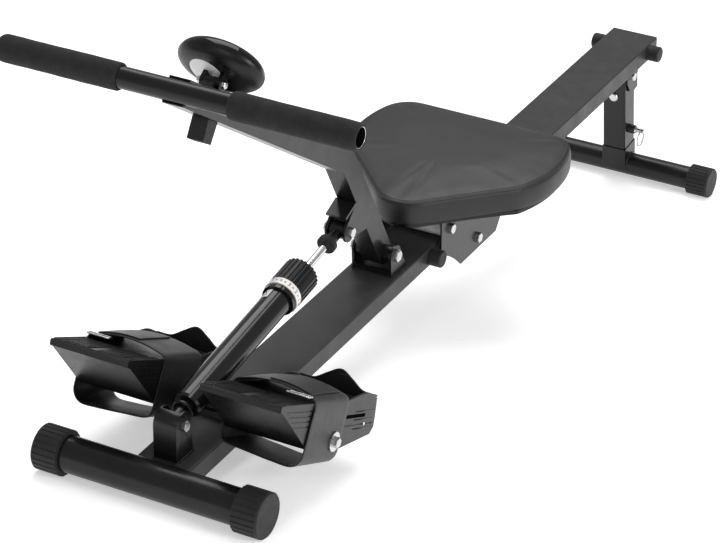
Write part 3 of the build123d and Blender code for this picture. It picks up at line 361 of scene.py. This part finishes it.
def joined(parts):
    """Several (vertices, faces) pairs as one."""
    vertices, faces = [], []
    for more_vertices, more_faces in parts:
        start = len(vertices)
        vertices.extend(more_vertices)
        faces.extend([[index + start for index in face] for face in more_faces])
    return vertices, faces


def lathe(origin, axis, profile, sides=48, closed=False):
    """Vertices and faces of a turned shape; the profile is (along the axis, radius) pairs."""
    across = axis.orthogonal().normalized()
    other = axis.cross(across)
    vertices = []
    for along, radius in profile:
        for side in range(sides):
            angle = 2 * math.pi * side / sides
            outward = across * math.cos(angle) + other * math.sin(angle)
            vertices.append(origin + axis * along + outward * radius)
    faces = grid_faces(len(profile), sides, wrap_rows=closed, wrap_columns=True)
    if not closed:
        faces.append(list(range(sides)))
        faces.append(list(range((len(profile) - 1) * sides, len(profile) * sides)))
    return vertices, faces


def dome(origin, axis, radius, height, sides=24):
    """A low domed head that stands on a surface."""
    steps = 5
    profile = [(0.0, radius), (height * 0.25, radius)]
    for step in range(1, steps):
        angle = math.pi / 2 * step / steps
        profile.append((height * (0.25 + 0.75 * math.sin(angle)), radius * math.cos(angle)))
    return lathe(origin, axis, profile, sides)


def even_steps(points, spacing):
    """A polyline walked in even steps."""
    path = []
    for start, end in zip(points, points[1:]):
        steps = max(1, round((end - start).length / spacing))
        path.extend(start.lerp(end, step / steps) for step in range(steps))
    path.append(points[-1])
    return path


# ---------------------------------------------------------------- camera
CAMERA_AT = Vector((1.7313, -3.7199, 1.7656))
camera_azimuth = math.radians(26.20)
camera_elevation = math.radians(22.53)
camera_roll = math.radians(4.63)
camera = bpy.data.objects.new("camera", bpy.data.cameras.new("camera"))
bpy.context.scene.collection.objects.link(camera)
camera.data.sensor_width = 36.0
camera.data.lens = 149.63
camera.data.clip_end = 60.0
turn = (Matrix.Rotation(camera_azimuth, 4, "Z")
        @ Matrix.Rotation(math.pi / 2 - camera_elevation, 4, "X")
        @ Matrix.Rotation(camera_roll, 4, "Z"))
camera.matrix_world = Matrix.Translation(CAMERA_AT) @ turn
bpy.context.scene.camera = camera


# ---------------------------------------------------------------- floor and light
def area_light(name, at, target, size, power):
    """A soft square light aimed at a point."""
    light = bpy.data.objects.new(name, bpy.data.lights.new(name, "AREA"))
    bpy.context.scene.collection.objects.link(light)
    light.data.shape = "SQUARE"
    light.data.size = size
    light.data.energy = power
    light.location = at
    light.rotation_euler = (Vector(target) - Vector(at)).to_track_quat("-Z", "Y").to_euler()


floor_mesh = bpy.data.meshes.new("floor")
floor_half = 30.0
floor_mesh.from_pydata([(-floor_half, -floor_half, 0), (floor_half, -floor_half, 0),
                        (floor_half, floor_half, 0), (-floor_half, floor_half, 0)], [], [(0, 1, 2, 3)])
floor = bpy.data.objects.new("floor", floor_mesh)
bpy.context.scene.collection.objects.link(floor)
floor_surface = Surface("pale_floor", 0.75)
floor_surface.colour(floor_surface.blend(floor_surface.noise(1.5), grey(0.90), grey(0.93)))
floor_surface.shader.inputs["Emission Color"].default_value = grey(1.0)
floor_surface.shader.inputs["Emission Strength"].default_value = 0.42
floor_mesh.materials.append(floor_surface.material)

world = bpy.data.worlds.new("studio")
bpy.context.scene.world = world
world.use_nodes = True
world.node_tree.nodes["Background"].inputs["Color"].default_value = (1.0, 1.0, 1.0, 1.0)
world.node_tree.nodes["Background"].inputs["Strength"].default_value = 0.42
bpy.context.scene.view_settings.view_transform = "Standard"

area_light("key", (-0.8, 1.4, 4.6), (0, 0, 0.2), 3.6, 150.0)
area_light("side", (4.0, -1.2, 2.0), (0, 0, 0.3), 1.3, 80.0)
area_light("front", (0.4, -4.4, 2.2), (0, -0.2, 0.3), 0.8, 18.0)


# ---------------------------------------------------------------- seat cushion
pad_low, pad_high = span("seat_pad", RAIL_UP)
pad_front, pad_rear = span("seat_pad", RAIL)
pad_middle = (pad_front + pad_rear) / 2
outline_count = 240
seam_rise = 34.2 * mm          # the seam's height above the pad's underside


def pad_outline():
    """The seat's plan in even steps, read from the CAD pad's underside, as (across, along) pairs."""
    corners = set()
    for vertex in nodes["seat_pad"].data.vertices:
        if vertex.co.dot(RAIL_UP) < pad_low + 0.5 * mm:
            corners.add((round(vertex.co.x, 5), round(vertex.co.dot(RAIL), 5)))
    ordered = sorted(corners, key=lambda corner: math.atan2(corner[0], corner[1] - pad_middle))
    loop = np.array(ordered + ordered[:1])
    reach = np.concatenate([[0], np.cumsum(np.linalg.norm(np.diff(loop, axis=0), axis=1))])
    steps = np.linspace(0, reach[-1], outline_count, endpoint=False)
    outline = np.stack([np.interp(steps, reach, loop[:, 0]), np.interp(steps, reach, loop[:, 1])], axis=1)
    for _ in range(8):
        outline = (np.roll(outline, 1, axis=0) + 2 * outline + np.roll(outline, -1, axis=0)) / 4
    waist_at = pad_front + 0.40 * (pad_rear - pad_front)
    waist = 4.0 * mm * np.exp(-((outline[:, 1] - waist_at) / (38 * mm)) ** 2)
    outline[:, 0] -= np.sign(outline[:, 0]) * np.minimum(waist, np.abs(outline[:, 0]))
    return outline


def inset_outline(outline, inset):
    """The plan moved inwards, square to itself."""
    ahead = np.roll(outline, -1, axis=0) - np.roll(outline, 1, axis=0)
    ahead /= np.linalg.norm(ahead, axis=1)[:, None]
    inward = np.stack([ahead[:, 1], -ahead[:, 0]], axis=1)
    inward *= np.sign(np.sum(inward * (np.array([0, pad_middle]) - outline), axis=1).sum())
    return outline + inward * inset


def cushion_rings():
    """The cushion's rings, from its underside round the side wall and the seam to the middle of its top."""
    outline = pad_outline()
    wall = [(14.0, 0.0), (4.0, 0.0), (1.4, 0.8), (0.6, 3.5), (0.0, 10.0), (-0.3, 17.0), (0.0, 24.0),
            (0.7, 29.5), (1.8, 32.8)]
    seam = [(3.2, seam_rise / mm)]
    edge = [(4.8, 35.9), (7.5, 37.2), (11.5, 38.4), (16.5, 39.3), (23.0, 39.9)]
    rings = [(inset_outline(outline, inset * mm), rise * mm) for inset, rise in wall + seam + edge]
    top_outline, top_rise = rings[-1]
    middle = np.array([0.0, pad_middle + 12 * mm])
    crown = 1.6 * mm
    for step in range(1, 15):
        scale = 1 - step / 15
        rings.append((middle + (top_outline - middle) * scale, top_rise + crown * (1 - scale ** 2)))
    return rings, len(wall)


def simulate_padding(piece, pinned, cap):
    """Inflate a padded piece with cloth pinned along its seams, ease its creases, and cap every move."""
    group = piece.vertex_groups.new(name="pinned")
    group.add(pinned, 1.0, "REPLACE")
    start = np.array([vertex.co for vertex in piece.data.vertices])
    cloth = piece.modifiers.new("cloth", "CLOTH")
    cloth.settings.quality = 6
    cloth.settings.mass = 0.3
    cloth.settings.tension_stiffness = 20
    cloth.settings.compression_stiffness = 12
    cloth.settings.bending_stiffness = 8.0
    cloth.settings.use_pressure = True
    cloth.settings.uniform_pressure_force = 3.0
    cloth.settings.vertex_group_mass = "pinned"
    cloth.settings.effector_weights.gravity = 0
    cloth.collision_settings.use_self_collision = False
    for step in range(1, 21):
        bpy.context.scene.frame_set(step)
    puffed = piece.evaluated_get(bpy.context.evaluated_depsgraph_get())
    move = np.array([vertex.co for vertex in puffed.data.vertices]) - start
    piece.modifiers.remove(cloth)
    ends = np.array([edge.vertices[:] for edge in piece.data.edges])
    valence = np.bincount(ends.ravel(), minlength=len(move))[:, None]
    for _ in range(10):
        total = np.zeros_like(move)
        np.add.at(total, ends[:, 0], move[ends[:, 1]])
        np.add.at(total, ends[:, 1], move[ends[:, 0]])
        move = 0.45 * move + 0.55 * total / np.maximum(valence, 1)
        move[pinned] = 0
    length = np.linalg.norm(move, axis=1)
    move *= (np.minimum(length, cap) / np.maximum(length, 1e-9))[:, None]
    piece.data.vertices.foreach_set("co", (start + move).astype(np.float32).ravel())
    bpy.context.scene.frame_set(1)


def make_cushion():
    """Vinyl cushion with its piping and its row of stitches."""
    rings, seam_ring = cushion_rings()
    vertices = [on_rail(x, s, pad_low + rise) for plan, rise in rings for x, s in plan]
    faces = grid_faces(len(rings), outline_count, wrap_columns=True)
    faces.append(list(range(outline_count)))
    last = (len(rings) - 1) * outline_count
    vertices.append(on_rail(0, pad_middle + 12 * mm, pad_low + rings[-1][1]))
    faces.extend([last + side, last + (side + 1) % outline_count, len(vertices) - 1]
                 for side in range(outline_count))
    cushion = mesh_piece("seat_cushion", vertices, faces, "vinyl_black", "carriage")
    held = list(range(3 * outline_count))
    held += range(seam_ring * outline_count, (seam_ring + 1) * outline_count)
    simulate_padding(cushion, held, 5 * mm)
    fine = cushion.modifiers.new("fine", "SUBSURF")
    fine.levels = fine.render_levels = 1
    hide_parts("seat_pad")

    def ring(number):
        first = number * outline_count
        return [cushion.data.vertices[first + side].co.copy() for side in range(outline_count)]

    piping = tube(ring(seam_ring), 1.25 * mm, closed=True, sides=8)
    mesh_piece("seat_piping", *piping, "vinyl_black", "carriage")
    row = ring(seam_ring + 2)
    stitches = []
    for side in range(outline_count):
        ahead = row[(side + 1) % outline_count]
        lift = RAIL_UP * 0.6 * mm
        stitches.append(tube([row[side].lerp(ahead, 0.15) + lift, row[side].lerp(ahead, 0.5) + lift * 1.3,
                              row[side].lerp(ahead, 0.8) + lift], 0.4 * mm, sides=6))
    # The stitches take the pale grey thread, whose colour also paints the seam's highlight line.
    thread = mesh_piece("seat_stitches", *joined(stitches), "strap_vinyl", "carriage")
    thread.data.materials[0] = grey_thread_painted_highlight


make_cushion()


# ---------------------------------------------------------------- handlebar: foam grips and bright tube ends
def make_grips():
    """A slightly uneven foam sleeve on each end of the crossbar, round the tube's bright end."""
    low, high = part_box("foam_grips")
    tube_low, tube_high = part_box("crossbar")
    middle = centre("crossbar")
    outer_r = (high.z - low.z) / 2
    tube_r = (tube_high.z - tube_low.z) / 2
    inner_x = min(abs(vertex.co.x) for vertex in nodes["foam_grips"].data.vertices)
    length = high.x - inner_x
    stretch = 40
    for name, sign in (("left", -1), ("right", 1)):
        profile = [(7 * mm, tube_r), (0.0, tube_r + 0.2 * mm), (0.0, outer_r - 2.6 * mm),
                   (0.8 * mm, outer_r - 1.0 * mm), (2.6 * mm, outer_r - 0.2 * mm)]
        for step in range(stretch):
            along = 5 * mm + (length - 12 * mm) * step / (stretch - 1)
            swell = 0.14 * mm * math.sin(9.0 * step / stretch + sign)
            swell += 0.08 * mm * math.sin(31.0 * step / stretch)
            profile.append((along, outer_r - 0.1 * mm + swell))
        profile += [(length - 4.5 * mm, outer_r - 0.5 * mm), (length - 2.0 * mm, outer_r - 1.6 * mm),
                    (length - 0.4 * mm, outer_r - 2.8 * mm), (length, tube_r + 0.4 * mm),
                    (length - 0.1 * mm, tube_r - 0.9 * mm), (length - 0.9 * mm, tube_r - 1.0 * mm),
                    (length - 1.1 * mm, tube_r), (length - 8 * mm, tube_r)]
        start = Vector((sign * inner_x, middle.y, middle.z))
        sleeve = lathe(start, ACROSS * sign, profile, sides=64, closed=True)
        grip = mesh_piece(f"foam_sleeve_{name}", *sleeve, "foam_black", "pull_arm")
        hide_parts("foam_grips")
        rim_at = Vector((sign * (tube_high.x - 0.4 * mm), middle.y, middle.z))
        wall = 1.7 * mm
        rim = [(0.0, tube_r - wall), (0.7 * mm, tube_r - wall), (1.0 * mm, tube_r - wall / 2),
               (0.7 * mm, tube_r), (0.0, tube_r)]
        mesh_piece(f"tube_rim_{name}", *lathe(rim_at, ACROSS * sign, rim, closed=True), "zinc", "pull_arm")


make_grips()

# ---------------------------------------------------------------- foot pedals and their straps
sole_pitch = math.radians(-25.5)          # the sole's slope against the rail
SOLE = RAIL * math.cos(sole_pitch) + RAIL_UP * math.sin(sole_pitch)
SOLE_UP = ACROSS.cross(SOLE)
axle_u, axle_v = 170.0 * mm, -55.2 * mm   # the axle in the sole's own directions
guard_u = 283.5 * mm
guard_wall = 1.5 * mm
strap_arch = 10.0              # millimetres between the strap's underside and the sole's plane at its middle


def smooth_path(points, steps, closed=False):
    """A Catmull-Rom curve through the points."""
    count = len(points)
    path = []
    for index in range(count if closed else count - 1):
        if closed:
            a, b, c, d = (points[(index + shift) % count] for shift in (-1, 0, 1, 2))
        else:
            a, b, c, d = (points[min(max(index + shift, 0), count - 1)] for shift in (-1, 0, 1, 2))
        for step in range(steps):
            t = step / steps
            path.append((b * 2 + (c - a) * t + (a * 2 - b * 5 + c * 4 - d) * t ** 2
                         + (b * 3 - a - c * 3 + d) * t ** 3) / 2)
    if not closed:
        path.append(points[-1].copy())
    return path


def sole_height(u):
    """Height of the sole's surface, which falls gently to the heel."""
    return -4.0 * mm * u / (190 * mm) if u < 190 * mm else -4.0 * mm - 6.0 * mm * (u - 190 * mm) / (96 * mm)


class Pedal:
    """One foot pedal; its points are given outwards from its middle, along its sole and above it."""

    def __init__(self, name, sign):
        self.name = name
        self.sign = sign
        self.body = f"pedal_{name}"
        low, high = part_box(f"foot_pedal_{name}")
        self.middle_x = (low.x + high.x) / 2
        self.half = (high.x - low.x) / 2
        self.axle = place(f"pedal_{name}_tilt")

    def at(self, out, u, v):
        in_plane = self.axle + SOLE * (u - axle_u) + SOLE_UP * (v - axle_v)
        return Vector((self.middle_x + self.sign * out, in_plane.y, in_plane.z))

    def rib(self, out_from, out_to, u, height, width):
        """One low moulded rib that crosses the sole."""
        base = sole_height(u) - 0.3 * mm
        section = [(-width / 2, 0), (-width / 4, height), (width / 4, height), (width / 2, 0)]
        vertices = [self.at(out, u + du, base + dv) for out in (out_from, out_to) for du, dv in section]
        faces = grid_faces(2, 4, wrap_columns=True) + [[0, 1, 2, 3], [7, 6, 5, 4]]
        return vertices, faces

    def make_tread(self):
        """Ribs over the toe and the heel, in two halves, and a finer row beside each edge of the toe."""
        ribs = []
        rib_pitch = 5.5 * mm
        for first, last in ((12 * mm, 79 * mm), (200 * mm, 266 * mm)):
            for step in range(int((last - first) / rib_pitch) + 1):
                u = first + step * rib_pitch
                for side in (-1, 1):
                    ribs.append(self.rib(side * 7 * mm, side * (self.half - 15 * mm), u, 1.5 * mm, 2.4 * mm))
        for step in range(24):
            for side in (-1, 1):
                u = 8 * mm + step * 3.4 * mm
                inner, outer = side * (self.half - 12 * mm), side * (self.half - 5 * mm)
                ribs.append(self.rib(inner, outer, u, 1.2 * mm, 1.6 * mm))
        mesh_piece(f"pedal_tread_{self.name}", *joined(ribs), "plastic_black", self.body, smooth=False)

    def make_lips(self):
        """Raised bead round the sole, and the rolled rim of the heel guard."""
        edge = self.half - 1.0 * mm
        loop = [self.at(-edge, 188 * mm, sole_height(188 * mm)), self.at(-edge, 8 * mm, 0.1 * mm),
                self.at(-edge + 3 * mm, 3 * mm, 0.1 * mm), self.at(edge - 3 * mm, 3 * mm, 0.1 * mm),
                self.at(edge, 8 * mm, 0.1 * mm), self.at(edge, 188 * mm, sole_height(188 * mm))]
        beads = [tube(even_steps(loop, 6 * mm), 1.0 * mm, sides=8)]
        wall = self.half - guard_wall
        side_rim = [(184, -5.6), (225, 1.4), (252, 3.9), (276, -0.4), (283.5, -0.9)]
        for side in (-1, 1):
            points = [self.at(side * wall, u * mm, v * mm) for u, v in side_rim]
            beads.append(tube(smooth_path(points, 8), 1.75 * mm, sides=8))
        back_rim = [(-wall / mm, -0.9), (-36, 0), (-18, 10.8), (0, 19.8), (18, 10.8), (36, 0),
                    (wall / mm, -0.9)]
        points = [self.at(out * mm, guard_u, v * mm) for out, v in back_rim]
        beads.append(tube(smooth_path(points, 8), 1.75 * mm, sides=8))
        for side in (-1, 1):
            for v in (-19.5, -30.5, -43.0):
                line = [self.at(side * self.half, u * mm, v * mm) for u in (227, 281)]
                beads.append(tube(line, 0.9 * mm, sides=8))
        mesh_piece(f"pedal_lips_{self.name}", *joined(beads), "plastic_black", self.body)

    def make_rivets(self):
        """Bright rivet on each side of the heel."""
        heads = []
        for side in (-1, 1):
            at = self.at(side * self.half, 258 * mm, -37 * mm)
            heads.append(dome(at, ACROSS * side * self.sign, 2.6 * mm, 1.3 * mm))
        mesh_piece(f"pedal_rivets_{self.name}", *joined(heads), "zinc", self.body)

    def band(self, path, u_from, u_to, lift, thickness, closed):
        """A vinyl band swept along the pedal from a path across it; lift moves it square to the sole."""
        columns = 18
        vertices = []
        for out, v in path:
            for column in range(columns):
                share = column / (columns - 1)
                bow = 0.5 * mm * math.sin(math.pi * share) if v > -10 * mm else 0.0
                u = u_from(out, v) + (u_to(out, v) - u_from(out, v)) * share
                vertices.append(self.at(out, u, v + lift(share, out, v) + bow))
        faces = grid_faces(len(path), columns, wrap_rows=closed)
        return vertices, faces, thickness

    def make_strap(self):
        """Broad strap over the sole, down both sides and slack under the pedal, with its folded tail."""
        side = self.half + 1.3 * mm
        loop = [(-side, -8), (-side + 3 * mm, 1.6)]
        for out in (-44 * mm, -30 * mm, -15 * mm, 0.0, 15 * mm, 30 * mm, 44 * mm):
            loop.append((out, 1.1 + strap_arch * (1 - (out / side) ** 2)))
        loop += [(side - 4 * mm, 2.0), (side, -8), (side, -30), (side, -58), (side - 2 * mm, -76),
                 (side - 14 * mm, -87), (20 * mm, -87), (-20 * mm, -84), (-side + 9 * mm, -81),
                 (-side + 1 * mm, -73), (-side, -56), (-side, -30)]
        points = [Vector((out, v * mm, 0)) for out, v in loop]
        path = [(point.x, point.y) for point in smooth_path(points, 9, closed=True)]

        def front(out, v):
            return (94.0 if v > -10 * mm else 94.0 - 6.0 * min(1.0, -v / (70 * mm))) * mm

        def rear(out, v):
            return (194.0 if v > -10 * mm else 194.0 - 4.0 * min(1.0, -v / (70 * mm))) * mm

        def lift(share, out, v):
            if v < -6 * mm:
                return 0.0
            return 1.0 * mm * (1 - share) ** 3 * (1 - (out / side) ** 2)

        def over(share, out, v):
            return lift(share, out, v) + 2.1 * mm

        tail = [(out, v) for out, v in path if -14 * mm < out < 50 * mm and v > 0]
        layers = (("strap", path, front, rear, lift, True),
                  ("strap_tail", tail, lambda out, v: 101 * mm, lambda out, v: 187 * mm, over, False))
        for name, line, u_from, u_to, rise, closed in layers:
            vertices, faces, thickness = self.band(line, u_from, u_to, rise, 1.9 * mm, closed)
            piece = mesh_piece(f"foot_{name}_{self.name}_vinyl", vertices, faces, "strap_vinyl", self.body)
            solid = piece.modifiers.new("thickness", "SOLIDIFY")
            solid.thickness = thickness
            solid.offset = 0
            edge = piece.modifiers.new("edge", "BEVEL")
            edge.width = 0.45 * mm
            edge.segments = 2
            edge.limit_method = "ANGLE"
            edge.angle_limit = math.radians(50)
            if closed:
                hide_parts(f"foot_strap_{self.name}")

    def make_loop(self):
        """Bright wire loop at the strap's front edge, where its tail folds back."""
        corner = 2.5 * mm
        half_out, half_u, corner_steps = 16 * mm, 6 * mm, 5
        middle_out, middle_u = 38 * mm, 87.5 * mm
        path = []
        for quarter in range(4):
            out_sign = 1 if quarter in (0, 3) else -1
            u_sign = 1 if quarter in (0, 1) else -1
            for step in range(corner_steps + 1):
                angle = math.pi / 2 * (quarter + step / corner_steps)
                out = middle_out + out_sign * (half_out - corner) + corner * math.cos(angle)
                u = middle_u + u_sign * (half_u - corner) + corner * math.sin(angle)
                path.append(self.at(out, u, 6.2 * mm))
        wire = tube(path, 1.5 * mm, closed=True)
        loop = mesh_piece(f"strap_wire_loop_{self.name}", *wire, "zinc", self.body)
        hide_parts(f"strap_loop_{self.name}")


for pedal in (Pedal("left", -1), Pedal("right", 1)):
    pedal.make_tread()
    pedal.make_lips()
    pedal.make_rivets()
    pedal.make_strap()
    pedal.make_loop()

# ---------------------------------------------------------------- weld beads
bead_r = 1.9 * mm


def weld(name, path, body, closed=False, seed=0):
    """A lumpy weld bead along a path."""
    steps = even_steps(path + path[:1] if closed else path, 1.6 * mm)
    if closed:
        steps = steps[:-1]
    bead = tube(steps, bead_r, closed=closed, sides=8, wobble=0.16, seed=seed)
    mesh_piece(name, *bead, "frame_black", body)


def weld_round_foot(node, name, seed):
    """A bead round the foot of a node that stands on the rail."""
    low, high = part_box(node)
    rail_top = span("rail_beam", RAIL_UP)[1]
    standing = [vertex.co for vertex in nodes[node].data.vertices
                if vertex.co.dot(RAIL_UP) < rail_top + 0.4 * mm]
    front = min(point.dot(RAIL) for point in standing)
    rear = max(point.dot(RAIL) for point in standing)
    corners = [(low.x, front), (high.x, front), (high.x, rear), (low.x, rear)]
    weld(name, [on_rail(x, s, rail_top) for x, s in corners], "frame", closed=True, seed=seed)


def arc_points(middle, toward, square, radius, start, end, steps=14):
    """Points of an arc in the plane of two directions, from angle start to end in degrees."""
    path = []
    for step in range(steps + 1):
        angle = math.radians(start + (end - start) * step / steps)
        path.append(middle + toward * (radius * math.cos(angle)) + square * (radius * math.sin(angle)))
    return path


def make_welds():
    """Beads where the frame's parts meet."""
    weld_round_foot("arm_base_bracket", "weld_arm_bracket", 1)
    weld_round_foot("lower_clevis", "weld_lower_clevis", 2)
    tube_middle = centre("front_stabiliser_tube")
    tube_r = (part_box("front_stabiliser_tube")[1].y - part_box("front_stabiliser_tube")[0].y) / 2
    rail_low, rail_top = span("rail_beam", RAIL_UP)
    tube_n = tube_middle.dot(RAIL_UP)
    top_angle = math.degrees(math.asin((rail_top - tube_n) / tube_r))
    low_angle = math.degrees(math.asin(max(-1.0, (rail_low - tube_n) / tube_r)))
    half_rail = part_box("rail_beam")[1].x
    path = []
    for x, first, last in ((-half_rail, low_angle, top_angle), (half_rail, top_angle, low_angle)):
        middle = Vector((x, tube_middle.y, tube_middle.z))
        path += arc_points(middle, RAIL, RAIL_UP, tube_r, first, last)
    weld("weld_rail_front", path, "frame", seed=3)
    rear_middle = centre("rear_stabiliser_tube")
    rear_r = (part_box("rear_stabiliser_tube")[1].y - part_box("rear_stabiliser_tube")[0].y) / 2
    half_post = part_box("rear_foot_post")[1].x
    leg_rear = LEG.cross(ACROSS)
    for name, x in (("left", -half_post), ("right", half_post)):
        middle = Vector((x, rear_middle.y, rear_middle.z))
        weld(f"weld_foot_{name}", arc_points(middle, -LEG, leg_rear, rear_r, -92, 92), "rear_foot", seed=4)
    bar_middle = centre("crossbar")
    bar_r = (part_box("crossbar")[1].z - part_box("crossbar")[0].z) / 2
    half_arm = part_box("handle_arm")[1].x
    down_arm = (centre("handle_arm") - bar_middle).normalized()
    for name, x in (("left", -half_arm), ("right", half_arm)):
        middle = Vector((x, bar_middle.y, bar_middle.z))
        weld(f"weld_crossbar_{name}", arc_points(middle, down_arm, ACROSS.cross(down_arm), bar_r, -78, 78),
             "pull_arm", seed=5)


make_welds()


# ---------------------------------------------------------------- printed marks on the damper
def wrapped(points, origin, radius, angle, along):
    """Flat (x, y) points laid round the damper: x goes round it and y along it."""
    path = []
    for x, y in points:
        turned = angle - x / radius
        out = ACROSS * math.cos(turned) + DAMPER_UP * math.sin(turned)
        path.append(origin + out * radius + DAMPER * (along + y))
    return path


def make_scale():
    """Numbers one to twelve round the scale ring, with a red dot between each pair."""
    origin = place("damper_swing")
    low, high = span("dial_scale_ring", DAMPER)
    along = (low + high) / 2 - origin.dot(DAMPER)
    radius = max((vertex.co - origin - DAMPER * (vertex.co - origin).dot(DAMPER)).length
                 for vertex in nodes["dial_scale_ring"].data.vertices) + 0.08 * mm
    digits, dots = [], []
    marks = 12
    for mark in range(marks):
        angle = 2 * math.pi * mark / marks
        text = bpy.data.curves.new("digit", "FONT")
        text.body = str(mark + 1)
        text.size = 9 * mm
        text.align_x = "CENTER"
        text.align_y = "CENTER"
        holder = bpy.data.objects.new("digit", text)
        flat = bpy.data.meshes.new_from_object(holder)
        points = [(vertex.co.x, vertex.co.y) for vertex in flat.vertices]
        faces = [list(face.vertices) for face in flat.polygons]
        digits.append((wrapped(points, origin, radius, angle, along), faces))
        bpy.data.objects.remove(holder)
        dot = angle + math.pi / marks
        out = ACROSS * math.cos(dot) + DAMPER_UP * math.sin(dot)
        dots.append(dome(origin + DAMPER * along + out * (radius - 0.2 * mm), out, 1.4 * mm, 0.4 * mm, 16))
    numbers = mesh_piece("scale_numbers", *joined(digits), "scale_white", "dial", smooth=False)
    numbers.data.materials[0] = black_ink
    reds = mesh_piece("scale_dots", *joined(dots), "scale_white", "dial")
    reds.data.materials[0] = red_ink


def make_label_mark():
    """A plain open triangle on the damper's label."""
    origin = place("damper_swing")
    low, high = span("damper_label", DAMPER)
    along = (low + high) / 2 - origin.dot(DAMPER)
    radius = max((vertex.co - origin - DAMPER * (vertex.co - origin).dot(DAMPER)).length
                 for vertex in nodes["damper_label"].data.vertices) + 0.05 * mm
    angle = math.radians(128)
    corners = [(-5.5 * mm, -4.0 * mm), (5.5 * mm, -4.0 * mm), (0.0, 5.5 * mm)]
    ring = even_steps([Vector((x, y, 0)) for x, y in corners + corners[:1]], 0.8 * mm)[:-1]
    path = wrapped([(point.x, point.y) for point in ring], origin, radius, angle, along)
    outline = tube(path, 0.45 * mm, closed=True, sides=6)
    mark = mesh_piece("label_mark", *outline, "label_white", "damper_cylinder")
    mark.data.materials[0] = black_ink


make_scale()
make_label_mark()


# ---------------------------------------------------------------- monitor's backing sheet
back_depth = 16 * mm           # from the monitor's seam to the flat of its back


def make_backing():
    """Pale printed sheet on the flat of the monitor's back, between the neck's lugs and its rim."""
    low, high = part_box("monitor_front_shell")
    up_low, up_high = span("monitor_front_shell", FACE_UP)
    plane = span("monitor_front_shell", FACE)[0] - back_depth
    middle = FACE * plane + FACE_UP * (up_low + up_high) / 2
    profile = ((0.0, 0.30), (0.5, 0.30), (0.97, 0.30), (1.0, 0.12), (1.0, -0.20))
    vertices = []
    for scale, lift in profile:
        half_x = (high.x - low.x) / 2 * 0.38 * scale
        half_up = (up_high - up_low) / 2 * 0.60 * scale
        for side in range(48):
            angle = math.radians(7.5 * side)
            x = max(half_x, 0.0001) * math.cos(angle) - 13 * mm
            up = max(half_up, 0.0001) * math.sin(angle)
            vertices.append(middle + ACROSS * x + FACE_UP * up - FACE * (lift * mm))
    faces = grid_faces(len(profile), 48, wrap_columns=True) + [list(range(48))]
    mesh_piece("monitor_backing", vertices, faces, "label_white", "monitor", smooth=False)


make_backing()

# ---------------------------------------------------------------- eased edges
ease_width = 0.7 * mm
for node in ("handle_arm", "arm_base_bracket", "lower_clevis", "arm_clevis", "carriage_frame",
             "rear_leg_post", "rear_foot_post", "rear_ear_bracket", "arm_rubber_block",
             "foot_pedal_left", "foot_pedal_right", "monitor_neck"):
    ease_edges(node, ease_width)
